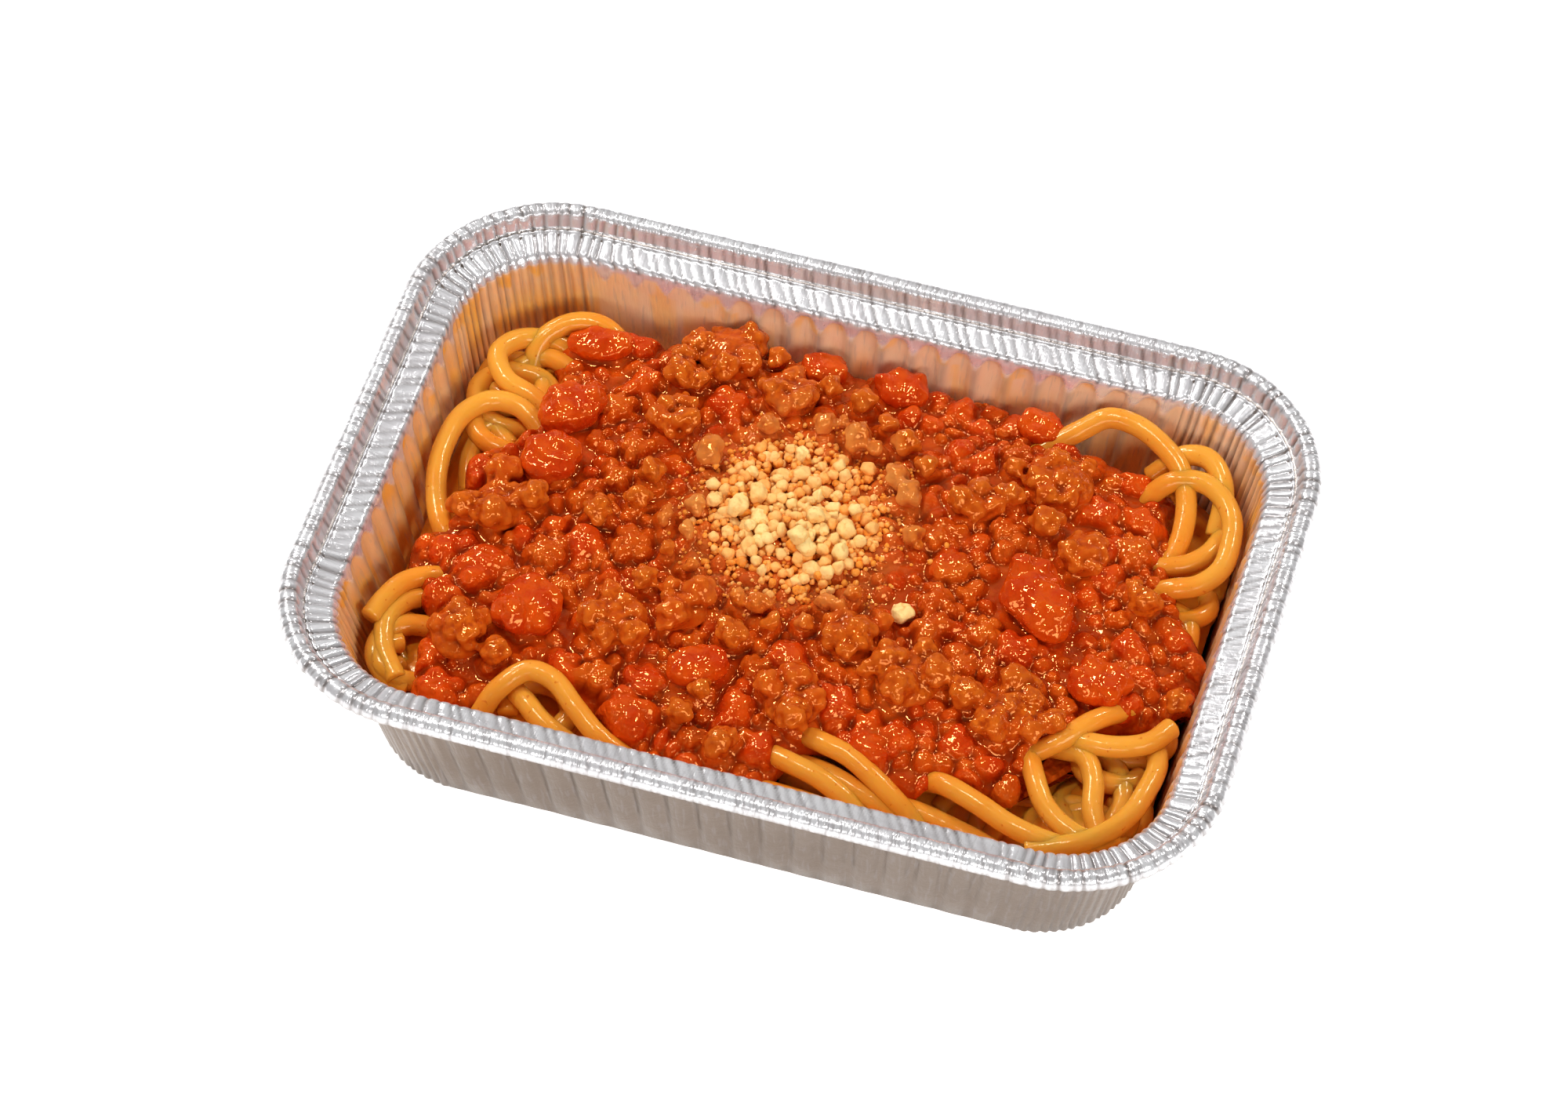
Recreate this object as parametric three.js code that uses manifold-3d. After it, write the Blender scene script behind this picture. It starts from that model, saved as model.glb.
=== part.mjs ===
// Foil tray meal: an oblong aluminium foil tray with a rolled rim, filled with spaghetti under a
// meat sauce with clumps of mince, pieces of tomato and a small heap of crumbled cheese.
//
// Millimetres, +Z up. The origin is the middle of the tray's underside, X runs along the tray.
// Every node is one closed solid: the foil tray, the spaghetti heap, the sauce layer, each large
// mince clump, each tomato piece, and the cheese heap. Neighbours keep a small gap.

import * as THREE from 'three';
import { mergeVertices } from 'three/addons/utils/BufferGeometryUtils.js';
import Module from 'manifold-3d';

const wasm = await Module();
wasm.setup();

// ---------------------------------------------------------------- driving dimensions (mm)

const TRAY = {
  length: 180,
  width: 128,
  height: 44,
  cornerRadius: 30,       // of the outermost edge, in plan
  innerCornerRadius: 20.4,
  beadRadius: 2.1,        // rolled edge
  ridgeInset: 4.85,       // crease where the drop wall meets the ledge
  ridgeZ: 40,
  ledgeInset: 9.6,        // inner edge of the ledge
  ledgeZ: 39,
  footInset: 16.4,        // where the tapered wall meets the base
  footRound: 2.7,
  foil: 0.6,
};
const FLUTE_DEPTH = 0.42;           // half the depth of the upright flutes in the wall
const LONG_SIDE_FLUTES = 19;
const SHORT_SIDE_FLUTES = 11;
const CORNER_PLEATS = 5;
const BEAD_ANGLES = [-60, 0, 45, 90, 140];   // of the bead's rings, in degrees from outwards to up

const GAP = 0.32;                   // between neighbouring solids
const NOODLE_RADIUS = 2.1;
const NOODLE_SIDES = 6;
const NOODLE_STEP = 5.8;            // length of one step along a noodle
const SAUCE_DEPTH = 5;
const MINCE_RADIUS = 3.3;           // of one crumb of mince
const CHEESE_RADIUS = 1.3;          // of a mid-sized crumb of cheese
const FACET_TOLERANCE = 0.08;       // how far the cut food may be simplified
const ABOVE_FOOD = 12;              // height over the sauce that is cleared for what lies on it
const NOODLE_CLEARANCE = 3.5 * GAP; // between the noodles and the sauce's edge

// Height of the food: a dome over the tray that drops towards the walls.
const MOUND = { top: 33.4, fall: 4.8, power: 3, halfX: 77, halfY: 51 };

// ---------------------------------------------------------------- places of the food (mm)

// Edge of the sauce in plan, counterclockwise. Where it passes the wall, the wall trims it.
const SAUCE_EDGE = [
  [78, 3], [70, 12], [62, 19], [61, 27], [58, 33], [60, 40], [50, 44], [41, 45], [36, 53],
  [18, 55], [0, 55], [-18, 54], [-34, 53], [-42, 47], [-53, 46], [-61, 39], [-59, 31],
  [-58, 26], [-61, 17], [-68, 9], [-67, -3], [-73, -13], [-70, -22], [-65, -29], [-64, -40],
  [-59, -51], [-48, -43], [-42, -36], [-34, -38.5], [-25, -44], [-17, -52], [2, -53],
  [8, -42], [11, -35.5], [19, -34.5], [26, -38], [33, -42], [37, -37.5], [44, -37], [51, -39],
  [52, -34], [54, -26], [63, -17], [72, -13], [79, -5],
];

// Noodles that show, each by the points its centre line passes through: x, y, z.
const NOODLES = [
  // far left corner
  [[-55, 23, 27], [-62, 25.5, 29.5], [-67.5, 27.5, 30], [-71, 33, 30], [-68.5, 38.5, 29],
    [-62, 41, 27.5], [-56, 40, 25]],
  [[-65, 34, 24.5], [-64.5, 39.5, 28.5], [-60, 44.3, 30], [-54, 45.5, 30], [-46, 42, 27]],
  [[-56, 36, 26.5], [-63, 37.5, 26.5], [-67, 34.5, 25.5], [-70, 29, 24], [-72, 22, 22]],
  [[-56, 18, 26.5], [-63, 22.5, 29], [-69, 22.5, 29], [-73, 18, 29], [-74.3, 11, 28.5],
    [-73.5, 3, 28], [-70, -6, 27], [-64, -13, 25]],
  [[-63, 16, 24.5], [-68, 19.5, 25], [-70, 13, 23.5], [-68, 5, 22]],
  // near left corner
  [[-74.8, -32.5, 28], [-73.5, -28, 28.5], [-71, -23, 28.5], [-66, -19, 27], [-58, -15, 25]],
  [[-64, -21, 24.5], [-70, -26, 26.5], [-72, -31, 26.5], [-70.5, -37, 26], [-66, -43, 25.5]],
  // arch at the front left
  [[-49, -46, 25], [-46.5, -42.5, 29.5], [-42, -38, 31.5], [-37, -38.5, 31.5], [-31, -43, 30.5],
    [-25, -47, 29], [-18, -48.5, 26]],
  [[-46, -38, 25.5], [-41, -42.5, 28], [-37, -45.5, 27.5], [-30, -48, 25.5]],
  // far right corner
  [[33, 41, 27], [41.5, 47, 31.5], [46, 49.4, 33.8], [51.5, 49.2, 33.8], [56.5, 47, 33.2],
    [61.5, 43.2, 32], [64.3, 38, 30.2], [65.5, 31, 28.3], [64.5, 22, 26]],
  [[56, 43, 27], [61.8, 46.6, 31.5], [66.3, 46.4, 32.5], [69.4, 43.6, 32], [71.2, 39.5, 30.5],
    [71.5, 33, 27]],
  [[53, 35, 27], [60.5, 39.8, 31], [66, 41, 32], [70.5, 39, 32], [74, 34.5, 31.5], [75.2, 28.5, 31],
    [74.8, 23, 30.5], [71.5, 18.5, 30], [66.5, 16.8, 29], [57, 16.5, 26.5]],
  [[73, 33, 27.5], [71.5, 28, 28], [68, 24, 28], [63, 22, 27.5], [55, 21, 25.5]],
  [[58, 12, 24.5], [66, 15, 25.5], [71, 13.5, 25], [72.5, 8, 24], [71, 1, 22.5]],
  // near right corner
  [[67, -11, 28], [61, -18, 31], [56, -24, 30.5], [48, -29, 27]],
  [[54, -20.5, 27], [61, -22.5, 30], [67, -22, 30.5], [72, -19.5, 30.5], [75.1, -14.5, 30]],
  [[50, -24, 27.5], [53.5, -32, 29.5], [57, -37.5, 29], [62, -41, 28.5], [67, -42, 28],
    [71, -39, 27]],
  [[49, -23, 26], [56, -23.5, 27.5], [61, -24.5, 28.5], [64, -29, 28], [65.5, -35, 27],
    [68.5, -40, 25.5]],
  [[72, -15, 26.5], [74.5, -23, 28.5], [74, -29, 29], [72.5, -35, 29], [69, -40.5, 29],
    [64, -44, 28.5], [56, -46.8, 27]],
  [[62, -18, 23.5], [68, -24.5, 25], [70, -30, 24.5], [68, -37, 23]],
  // front edge
  [[29, -34, 26.5], [38, -38.5, 30], [45, -41, 29.5], [52, -43.3, 28.5], [59, -44.5, 28],
    [67, -43.5, 26]],
  [[5, -32, 26], [14.5, -37, 30.5], [20, -38.5, 30.5], [26, -41.5, 29.5], [32, -44.5, 27],
    [38, -47, 22.5], [44, -46, 19]],
  [[-1, -38, 26], [9.5, -42, 29], [16, -43.5, 28.5], [22, -45.5, 26.5], [28, -47.5, 22.5],
    [34, -46, 19]],
];

// Lower loops of noodle that fill the corners: centre x, y, first angle in degrees.
const LOWER_LOOPS = [
  [-66, 31, 60], [-67, 6, 120], [-66, -31, 150], [-37, -42, 200],
  [63, 38, -60], [68, 14, -90], [66, -30, -110], [45, -43, -160], [14, -45, 200],
];
const LOWER_LOOP = { radius: 6.5, sweep: 220, z: 21.5, rise: 2.5 };

// Large clumps of mince: x, y, width across, lift over the sauce.
const MINCE_CLUMPS = [
  [-28, 45, 15, 2.4], [-14, 38.5, 13, 0.6], [-33, 26, 12, 0.4], [-59, -3, 14, 0.6],
  [-57, -33, 13.5, 0.6], [-30, -22.5, 15, 0.7], [7, -31, 14, 0.6], [26, -20.5, 15, 0.6],
  [46, -21, 16, 0.6], [41, 33, 16.5, 0.6], [13.5, -14.5, 13, 0.5], [-18, -17, 11, 0.4],
  [50, 17, 11, 0.4], [28, 24, 11, 0.5],
];

// Pieces of tomato: x, y, length, width, turn in degrees.
const TOMATO_PIECES = [
  [-46, -24.5, 13.5, 13, 20], [-53, 9.5, 13, 11, 60], [-53, 22.5, 14, 11, 40], [-53, 41, 14, 8, 10],
  [6, 47, 11, 9, 0], [-9.5, 47.5, 10, 8, 0], [44.5, 4, 21, 13, -52], [60, -10, 13, 10, 20],
  [-12, -29, 13, 9.5, 25], [34, 46, 10, 8, 0],
];

const CHEESE = { x: -4.5, y: 9, halfX: 19, halfY: 17.5, peak: 2.2, crumbs: 34 };

// Lumps in the sauce: how many, how far apart, and the half sizes of the field they are drawn from.
const SAUCE_LUMPS = { count: 44, spacing: 5.5, halfX: 72, halfY: 47, attempts: 4000 };

// Solid body of noodles: its height along the wall, and the steps in from there to its domed top.
const PASTA_CORE = { edgeZ: 19, shelf: 12, shelfRise: 1.5, domeFrom: 20, domeTo: 34 };

// ---------------------------------------------------------------- helpers

function makeRandom(seed) {
  let state = seed;
  return () => {
    state = (state * 1664525 + 1013904223) % 4294967296;
    return state / 4294967296;
  };
}

function moundZ(x, y) {
  const p = MOUND.power;
  const across = Math.pow(Math.abs(x) / MOUND.halfX, p) + Math.pow(Math.abs(y) / MOUND.halfY, p);
  return MOUND.top - MOUND.fall * Math.min(across, 1.5);
}

// A solid from a geometry: shared vertices merged, faces turned outwards.
function solidOf(geometry) {
  const bare = geometry.clone();
  bare.deleteAttribute('normal');
  bare.deleteAttribute('uv');
  const merged = mergeVertices(bare, 1e-4);
  const triVerts = Uint32Array.from(merged.index.array);
  const vertProperties = Float32Array.from(merged.attributes.position.array);
  const solid = new wasm.Manifold(new wasm.Mesh({ numProp: 3, vertProperties, triVerts }));
  if (solid.volume() > 0) return solid;
  for (let i = 0; i < triVerts.length; i += 3) {
    [triVerts[i + 1], triVerts[i + 2]] = [triVerts[i + 2], triVerts[i + 1]];
  }
  return new wasm.Manifold(new wasm.Mesh({ numProp: 3, vertProperties, triVerts }));
}

// The largest connected body of a solid, with its smallest facets merged. Loose scraps go.
function mainBody(solid) {
  const bodies = solid.asOriginal().simplify(FACET_TOLERANCE).decompose();
  return bodies.reduce((best, body) => (body.volume() > best.volume() ? body : best));
}

function geometryOf(solid) {
  const mesh = solid.getMesh();
  const geometry = new THREE.BufferGeometry();
  geometry.setAttribute('position', new THREE.BufferAttribute(Float32Array.from(mesh.vertProperties), 3));
  geometry.setIndex(new THREE.BufferAttribute(Uint32Array.from(mesh.triVerts), 1));
  geometry.computeVertexNormals();
  return geometry;
}

// A closed loft through rings of points, with a centre point at each end. Each ring has as many
// points as the one before it, or twice or half as many.
function loft(rings, firstZ, lastZ) {
  const positions = [0, 0, firstZ];
  const faces = [];
  const starts = rings.map((ring) => {
    const start = positions.length / 3;
    ring.forEach((point) => positions.push(point.x, point.y, point.z));
    return start;
  });
  const last = positions.length / 3;
  positions.push(0, 0, lastZ);

  const at = (ringIndex, i) => starts[ringIndex] + (i % rings[ringIndex].length);
  rings[0].forEach((_, i) => faces.push(0, at(0, i + 1), at(0, i)));
  for (let k = 0; k + 1 < rings.length; k += 1) {
    const lower = rings[k].length;
    const upper = rings[k + 1].length;
    for (let i = 0; i < Math.min(lower, upper); i += 1) {
      if (lower === upper) {
        faces.push(at(k, i), at(k, i + 1), at(k + 1, i));
        faces.push(at(k, i + 1), at(k + 1, i + 1), at(k + 1, i));
      } else if (lower > upper) {
        faces.push(at(k, 2 * i), at(k, 2 * i + 1), at(k + 1, i));
        faces.push(at(k, 2 * i + 1), at(k + 1, i + 1), at(k + 1, i));
        faces.push(at(k, 2 * i + 1), at(k, 2 * i + 2), at(k + 1, i + 1));
      } else {
        faces.push(at(k, i), at(k + 1, 2 * i + 1), at(k + 1, 2 * i));
        faces.push(at(k, i), at(k, i + 1), at(k + 1, 2 * i + 1));
        faces.push(at(k, i + 1), at(k + 1, 2 * i + 2), at(k + 1, 2 * i + 1));
      }
    }
  }
  const end = rings.length - 1;
  rings[end].forEach((_, i) => faces.push(last, at(end, i), at(end, i + 1)));

  const geometry = new THREE.BufferGeometry();
  geometry.setAttribute('position', new THREE.Float32BufferAttribute(positions, 3));
  geometry.setIndex(faces);
  geometry.computeVertexNormals();
  return geometry;
}

// ---------------------------------------------------------------- foil tray

// Rounded rectangle at an inset from the tray's outer edge. Every second point is pushed in and
// every other one out by the relief; a coarse ring keeps only every second point.
function trayRing(inset, z, { relief = 0, radius, coarse = true, lift = () => 0 } = {}) {
  const halfX = TRAY.length / 2 - inset;
  const halfY = TRAY.width / 2 - inset;
  const corner = radius ?? Math.max(TRAY.cornerRadius - inset, TRAY.innerCornerRadius);
  const points = [];
  const addPoint = (x, y, angle) => {
    const push = points.length % 2 === 0 ? relief : -relief;
    const px = x + push * Math.cos(angle);
    const py = y + push * Math.sin(angle);
    points.push(new THREE.Vector3(px, py, z + lift(px, py)));
  };
  const quarters = [[1, 1], [-1, 1], [-1, -1], [1, -1]];
  quarters.forEach(([signX, signY], quarter) => {
    const centreX = signX * (halfX - corner);
    const centreY = signY * (halfY - corner);
    const arcSteps = 2 * CORNER_PLEATS;
    for (let i = 0; i <= arcSteps; i += 1) {
      const angle = (quarter + i / arcSteps) * Math.PI / 2;
      addPoint(centreX + corner * Math.cos(angle), centreY + corner * Math.sin(angle), angle);
    }
    const sideAngle = (quarter + 1) * Math.PI / 2;
    const alongX = quarter % 2 === 0;
    const sideSteps = 2 * (alongX ? LONG_SIDE_FLUTES : SHORT_SIDE_FLUTES);
    for (let i = 1; i < sideSteps; i += 1) {
      const t = 1 - 2 * i / sideSteps;
      if (alongX) addPoint(signX * t * (halfX - corner), signY * halfY, sideAngle);
      else addPoint(signX * halfX, signY * t * (halfY - corner), sideAngle);
    }
  });
  return coarse ? points.filter((_, i) => i % 2 === 0) : points;
}

// Inset of the wall's outer face at a height.
function wallInset(z) {
  const rise = Math.min(Math.max(z / TRAY.ledgeZ, 0), 1);
  return TRAY.footInset + (TRAY.ledgeInset - TRAY.footInset) * rise;
}

function trayGeometry() {
  const { height, foil, beadRadius, footInset, footRound, ridgeInset, ridgeZ, ledgeInset, ledgeZ } = TRAY;
  const beadZ = height - beadRadius;
  const footRadius = TRAY.innerCornerRadius - footRound;
  const fluted = { relief: FLUTE_DEPTH, coarse: false };
  const wallTopZ = ledgeZ - 1.2;
  const beadAt = (degrees) => {
    const angle = THREE.MathUtils.degToRad(degrees);
    return trayRing(beadRadius - beadRadius * Math.cos(angle), beadZ + beadRadius * Math.sin(angle));
  };
  const rings = [
    // outside, from the base up
    trayRing(footInset + footRound, 0, { radius: footRadius }),
    trayRing(footInset + footRound * 0.3, footRound * 0.3),
    trayRing(wallInset(footRound), footRound, fluted),
    trayRing(wallInset(wallTopZ), wallTopZ - foil, fluted),
    trayRing(ridgeInset + foil, ridgeZ - 1.6 * foil),
    // rolled edge, from underneath over the top to the inside
    ...BEAD_ANGLES.map(beadAt),
    // drop wall, ledge and inner wall
    trayRing(ridgeInset, ridgeZ),
    trayRing(ledgeInset, ledgeZ),
    trayRing(wallInset(wallTopZ) + foil, wallTopZ, fluted),
    trayRing(wallInset(footRound) + foil, footRound + foil, fluted),
    trayRing(footInset + footRound, foil, { radius: footRadius }),
  ];
  return loft(rings, 0, foil);
}

// Room inside the tray's walls for the food, from just above its base to a given height.
function cavity(top) {
  const clear = TRAY.foil + FLUTE_DEPTH + GAP + 0.05;
  const base = TRAY.foil + GAP;
  const radius = TRAY.innerCornerRadius - clear;
  const ringAt = (z, extra = 0) => trayRing(wallInset(z) + clear + extra, z, { radius: radius - extra });
  const rings = [
    ringAt(base, TRAY.footRound),
    ringAt(base + TRAY.footRound),
    ringAt(top),
  ];
  return solidOf(loft(rings, base, top));
}

// ---------------------------------------------------------------- sauce layer

const SAUCE_POINTS = 60;

// The sauce as a dome with a rounded edge. The same layer made larger clears its neighbours.
function sauceLayer({ grow = 0, raise = 0, lower = 0 } = {}) {
  const curve = new THREE.CatmullRomCurve3(
    SAUCE_EDGE.map(([x, y]) => new THREE.Vector3(x, y, 0)), true, 'centripetal');
  const line = curve.getSpacedPoints(SAUCE_POINTS).slice(0, SAUCE_POINTS);
  const edge = line.map((point, i) => {
    const before = line[(i + SAUCE_POINTS - 1) % SAUCE_POINTS];
    const along = line[(i + 1) % SAUCE_POINTS].clone().sub(before).normalize();
    return point.clone().add(new THREE.Vector3(along.y, -along.x, 0).multiplyScalar(grow));
  });
  const ringAt = (share, drop, every = 1) => edge.filter((_, i) => i % every === 0).map((point) => {
    const x = point.x * share;
    const y = point.y * share;
    return new THREE.Vector3(x, y, moundZ(x, y) + drop);
  });
  const rings = [
    ringAt(0.5, -SAUCE_DEPTH - lower, 2),
    ringAt(0.96, -SAUCE_DEPTH * 0.9 - lower),
    ringAt(1, -SAUCE_DEPTH * 0.5),
    ringAt(0.97, -0.6 + raise),
    ringAt(0.88, 0.1 + raise),
    ringAt(0.64, raise, 2),
    ringAt(0.36, raise, 4),
  ];
  return solidOf(loft(rings, MOUND.top - SAUCE_DEPTH - lower, MOUND.top + raise));
}

// ---------------------------------------------------------------- pieces of food

// A rough ball: an icosahedron stretched and turned at random.
function roughBall(random, radius, { x, y, z, stretch = 0.18 }) {
  const geometry = new THREE.IcosahedronGeometry(radius, 0);
  const wobble = () => 1 + stretch * (2 * random() - 1);
  const scale = new THREE.Vector3(wobble(), wobble(), wobble());
  const turn = new THREE.Euler(Math.PI * random(), Math.PI * random(), Math.PI * random());
  geometry.scale(scale.x, scale.y, scale.z);
  geometry.applyMatrix4(new THREE.Matrix4().makeRotationFromEuler(turn));
  geometry.translate(x, y, z);
  return solidOf(geometry);
}

function noodle(points) {
  const curve = new THREE.CatmullRomCurve3(points.map((p) => new THREE.Vector3(...p)), false, 'centripetal');
  const section = new THREE.Shape();
  for (let i = 0; i < NOODLE_SIDES; i += 1) {
    const angle = 2 * Math.PI * i / NOODLE_SIDES;
    const x = NOODLE_RADIUS * Math.cos(angle);
    const y = NOODLE_RADIUS * Math.sin(angle);
    if (i === 0) section.moveTo(x, y);
    else section.lineTo(x, y);
  }
  const steps = Math.max(4, Math.round(curve.getLength() / NOODLE_STEP));
  const geometry = new THREE.ExtrudeGeometry(section, { steps, extrudePath: curve, bevelEnabled: false });
  return solidOf(geometry);
}

function lowerLoop([x, y, firstAngle]) {
  const count = 6;
  const points = Array.from({ length: count }, (_, i) => {
    const share = i / (count - 1);
    const angle = THREE.MathUtils.degToRad(firstAngle + LOWER_LOOP.sweep * share);
    return [
      x + LOWER_LOOP.radius * Math.cos(angle),
      y + LOWER_LOOP.radius * Math.sin(angle),
      LOWER_LOOP.z + LOWER_LOOP.rise * Math.sin(Math.PI * share),
    ];
  });
  return noodle(points);
}

// Solid body of noodles under the ones that show. It is lower along the walls.
function pastaCore() {
  const { foil, footRound, innerCornerRadius, footInset } = TRAY;
  const base = foil + GAP;
  const { edgeZ, shelf, shelfRise, domeFrom, domeTo } = PASTA_CORE;
  const clear = foil + FLUTE_DEPTH + 2 * GAP;
  const drop = SAUCE_DEPTH + 3 * GAP;
  const ringAt = (inset, z, lift) => trayRing(inset, z, {
    radius: Math.max(4, innerCornerRadius + footInset - inset - clear),
    lift,
  }).filter((_, i) => i % 2 === 0);
  const domed = (x, y) => moundZ(x, y) - drop;
  const rings = [
    ringAt(footInset + clear + footRound, base),
    ringAt(wallInset(base + footRound) + clear, base + footRound),
    ringAt(wallInset(edgeZ) + clear, edgeZ),
    ringAt(wallInset(edgeZ) + shelf, edgeZ + shelfRise),
    ringAt(wallInset(edgeZ) + domeFrom, 0, domed),
    ringAt(wallInset(edgeZ) + domeTo, 0, domed),
  ];
  return solidOf(loft(rings, base, MOUND.top - drop));
}

function spaghetti(room, sauceSpace) {
  let heap = pastaCore();
  for (const route of NOODLES) heap = heap.add(noodle(route));
  for (const loop of LOWER_LOOPS) heap = heap.add(lowerLoop(loop));
  return mainBody(heap.intersect(room).subtract(sauceSpace));
}

// Crumbs of one clump, as centre and radius, none of them touching a piece placed before.
function clumpCrumbs(random, [x, y, width, lift], placed) {
  const reach = width / 2 - 0.8 * MINCE_RADIUS;
  const around = Math.max(3, Math.round(reach));
  const first = 2 * Math.PI * random();
  const crumbs = [{ x, y, radius: MINCE_RADIUS, lift: lift + 0.9 }];
  for (let i = 0; i < around; i += 1) {
    const angle = first + 2 * Math.PI * (i + 0.3 * random()) / around;
    const distance = reach * (0.85 + 0.25 * random());
    crumbs.push({
      x: x + distance * Math.cos(angle),
      y: y + distance * Math.sin(angle),
      radius: MINCE_RADIUS * (0.85 + 0.3 * random()),
      lift: lift + 0.4 * random(),
    });
  }
  return crumbs.filter((crumb) => placed.every((other) => isClear(crumb, other)));
}

const WIDEST_STRETCH = 1.06;
function isClear(a, b) {
  return Math.hypot(a.x - b.x, a.y - b.y) > (a.radius + b.radius) * WIDEST_STRETCH + GAP;
}

function minceClump(random, crumbs, room, sauceRaised) {
  const balls = crumbs.map(({ x, y, radius, lift }) => (
    roughBall(random, radius, { x, y, z: moundZ(x, y) + lift })));
  return mainBody(wasm.Manifold.union(balls).intersect(room).subtract(sauceRaised));
}

function tomatoPiece(random, [x, y, length, width, turn], room, sauceRaised) {
  const geometry = new THREE.SphereGeometry(1, 9, 6);
  geometry.rotateX(Math.PI / 2);
  geometry.scale(length / 2, width / 2, width * 0.34);
  geometry.rotateX(0.3 * (random() - 0.5));
  geometry.rotateZ(THREE.MathUtils.degToRad(turn));
  geometry.translate(x, y, moundZ(x, y) + 0.8);
  return mainBody(solidOf(geometry).intersect(room).subtract(sauceRaised));
}

// Lumps that stand out of the sauce, clear of the pieces that lie on it.
function sauceWithLumps(random, layer, room, placed) {
  const { count, spacing, halfX, halfY, attempts } = SAUCE_LUMPS;
  let sauce = layer;
  const lumps = [];
  const isFree = (lump) => placed.every((other) => isClear(lump, other))
    && lumps.every((other) => Math.hypot(lump.x - other.x, lump.y - other.y) > spacing);
  for (let attempt = 0; attempt < attempts && lumps.length < count; attempt += 1) {
    const lump = {
      x: halfX * (2 * random() - 1),
      y: halfY * (2 * random() - 1),
      radius: MINCE_RADIUS * (0.7 + 0.35 * random()),
    };
    if (!isFree(lump) || depthInSauce(lump.x, lump.y) < lump.radius * WIDEST_STRETCH) continue;
    lumps.push(lump);
    sauce = sauce.add(roughBall(random, lump.radius, { ...lump, z: moundZ(lump.x, lump.y) + 0.3 }));
  }
  return mainBody(sauce.intersect(room));
}

// How far a point lies inside the sauce's edge in plan. It is negative outside.
function depthInSauce(x, y) {
  const point = new THREE.Vector3(x, y, 0);
  const nearest = new THREE.Vector3();
  let inside = false;
  let distance = Infinity;
  SAUCE_EDGE.forEach(([ax, ay], i) => {
    const [bx, by] = SAUCE_EDGE[(i + 1) % SAUCE_EDGE.length];
    if ((ay > y) !== (by > y) && x < ax + (bx - ax) * (y - ay) / (by - ay)) inside = !inside;
    const side = new THREE.Line3(new THREE.Vector3(ax, ay, 0), new THREE.Vector3(bx, by, 0));
    side.closestPointToPoint(point, true, nearest);
    distance = Math.min(distance, nearest.distanceTo(point));
  });
  return inside ? distance : -distance;
}

// Low dome of cheese with crumbs standing out of it, over the bare sauce.
function cheeseHeap(random, sauceRaised) {
  const { x: centreX, y: centreY, halfX, halfY, peak, crumbs } = CHEESE;
  const ringCount = 18;
  const ringAt = (share, rise) => Array.from({ length: ringCount }, (_, i) => {
    const angle = 2 * Math.PI * i / ringCount;
    const wave = 1 + 0.1 * Math.sin(3 * angle + 0.7) + 0.06 * Math.sin(5 * angle);
    const x = centreX + share * wave * halfX * Math.cos(angle);
    const y = centreY + share * wave * halfY * Math.sin(angle);
    return new THREE.Vector3(x, y, moundZ(x, y) + GAP + rise);
  });
  const rings = [ringAt(0.8, -1), ringAt(0.82, 0.35), ringAt(0.5, peak * 0.6)];
  const dome = loft(rings, 0, 0);
  const position = dome.attributes.position;
  const lastPoint = position.count - 1;
  position.setXYZ(0, centreX, centreY, moundZ(centreX, centreY) - 1);
  position.setXYZ(lastPoint, centreX, centreY, moundZ(centreX, centreY) + GAP + peak);
  let heap = solidOf(dome);
  for (let i = 0; i < crumbs; i += 1) {
    const angle = i * Math.PI * (3 - Math.sqrt(5));
    const share = Math.sqrt((i + 0.5) / crumbs);
    const x = centreX + share * halfX * Math.cos(angle);
    const y = centreY + share * halfY * Math.sin(angle);
    const radius = CHEESE_RADIUS * (0.75 + 0.9 * random() * (1.1 - share));
    const z = moundZ(x, y) + GAP + peak * Math.pow(1 - share, 1.2) + 0.35;
    heap = heap.add(roughBall(random, radius, { x, y, z, stretch: 0.25 }));
  }
  return mainBody(heap.subtract(sauceRaised));
}

// ---------------------------------------------------------------- materials and assembly

const materials = {
  foil: new THREE.MeshStandardMaterial({ color: 0xd2d2d4, roughness: 0.3, metalness: 1 }),
  pasta: new THREE.MeshStandardMaterial({ color: 0xdc9a3c, roughness: 0.4, metalness: 0 }),
  sauce: new THREE.MeshStandardMaterial({ color: 0xb8330d, roughness: 0.25, metalness: 0 }),
  mince: new THREE.MeshStandardMaterial({ color: 0xa04a1c, roughness: 0.4, metalness: 0 }),
  tomato: new THREE.MeshStandardMaterial({ color: 0xc52a0c, roughness: 0.2, metalness: 0 }),
  cheese: new THREE.MeshStandardMaterial({ color: 0xf0c67c, roughness: 0.7, metalness: 0 }),
};

const group = new THREE.Group();

function addNode(name, geometry, material) {
  const mesh = new THREE.Mesh(geometry, material);
  mesh.name = name;
  group.add(mesh);
}

const foodRoom = cavity(TRAY.ledgeZ - 0.5);
const bareSauce = sauceLayer();
const sauceSpace = sauceLayer({ grow: NOODLE_CLEARANCE, raise: ABOVE_FOOD, lower: GAP });
const sauceRaised = sauceLayer({ grow: GAP, raise: GAP, lower: GAP });

addNode('foil_tray', trayGeometry(), materials.foil);
addNode('spaghetti', geometryOf(spaghetti(foodRoom, sauceSpace)), materials.pasta);

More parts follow.
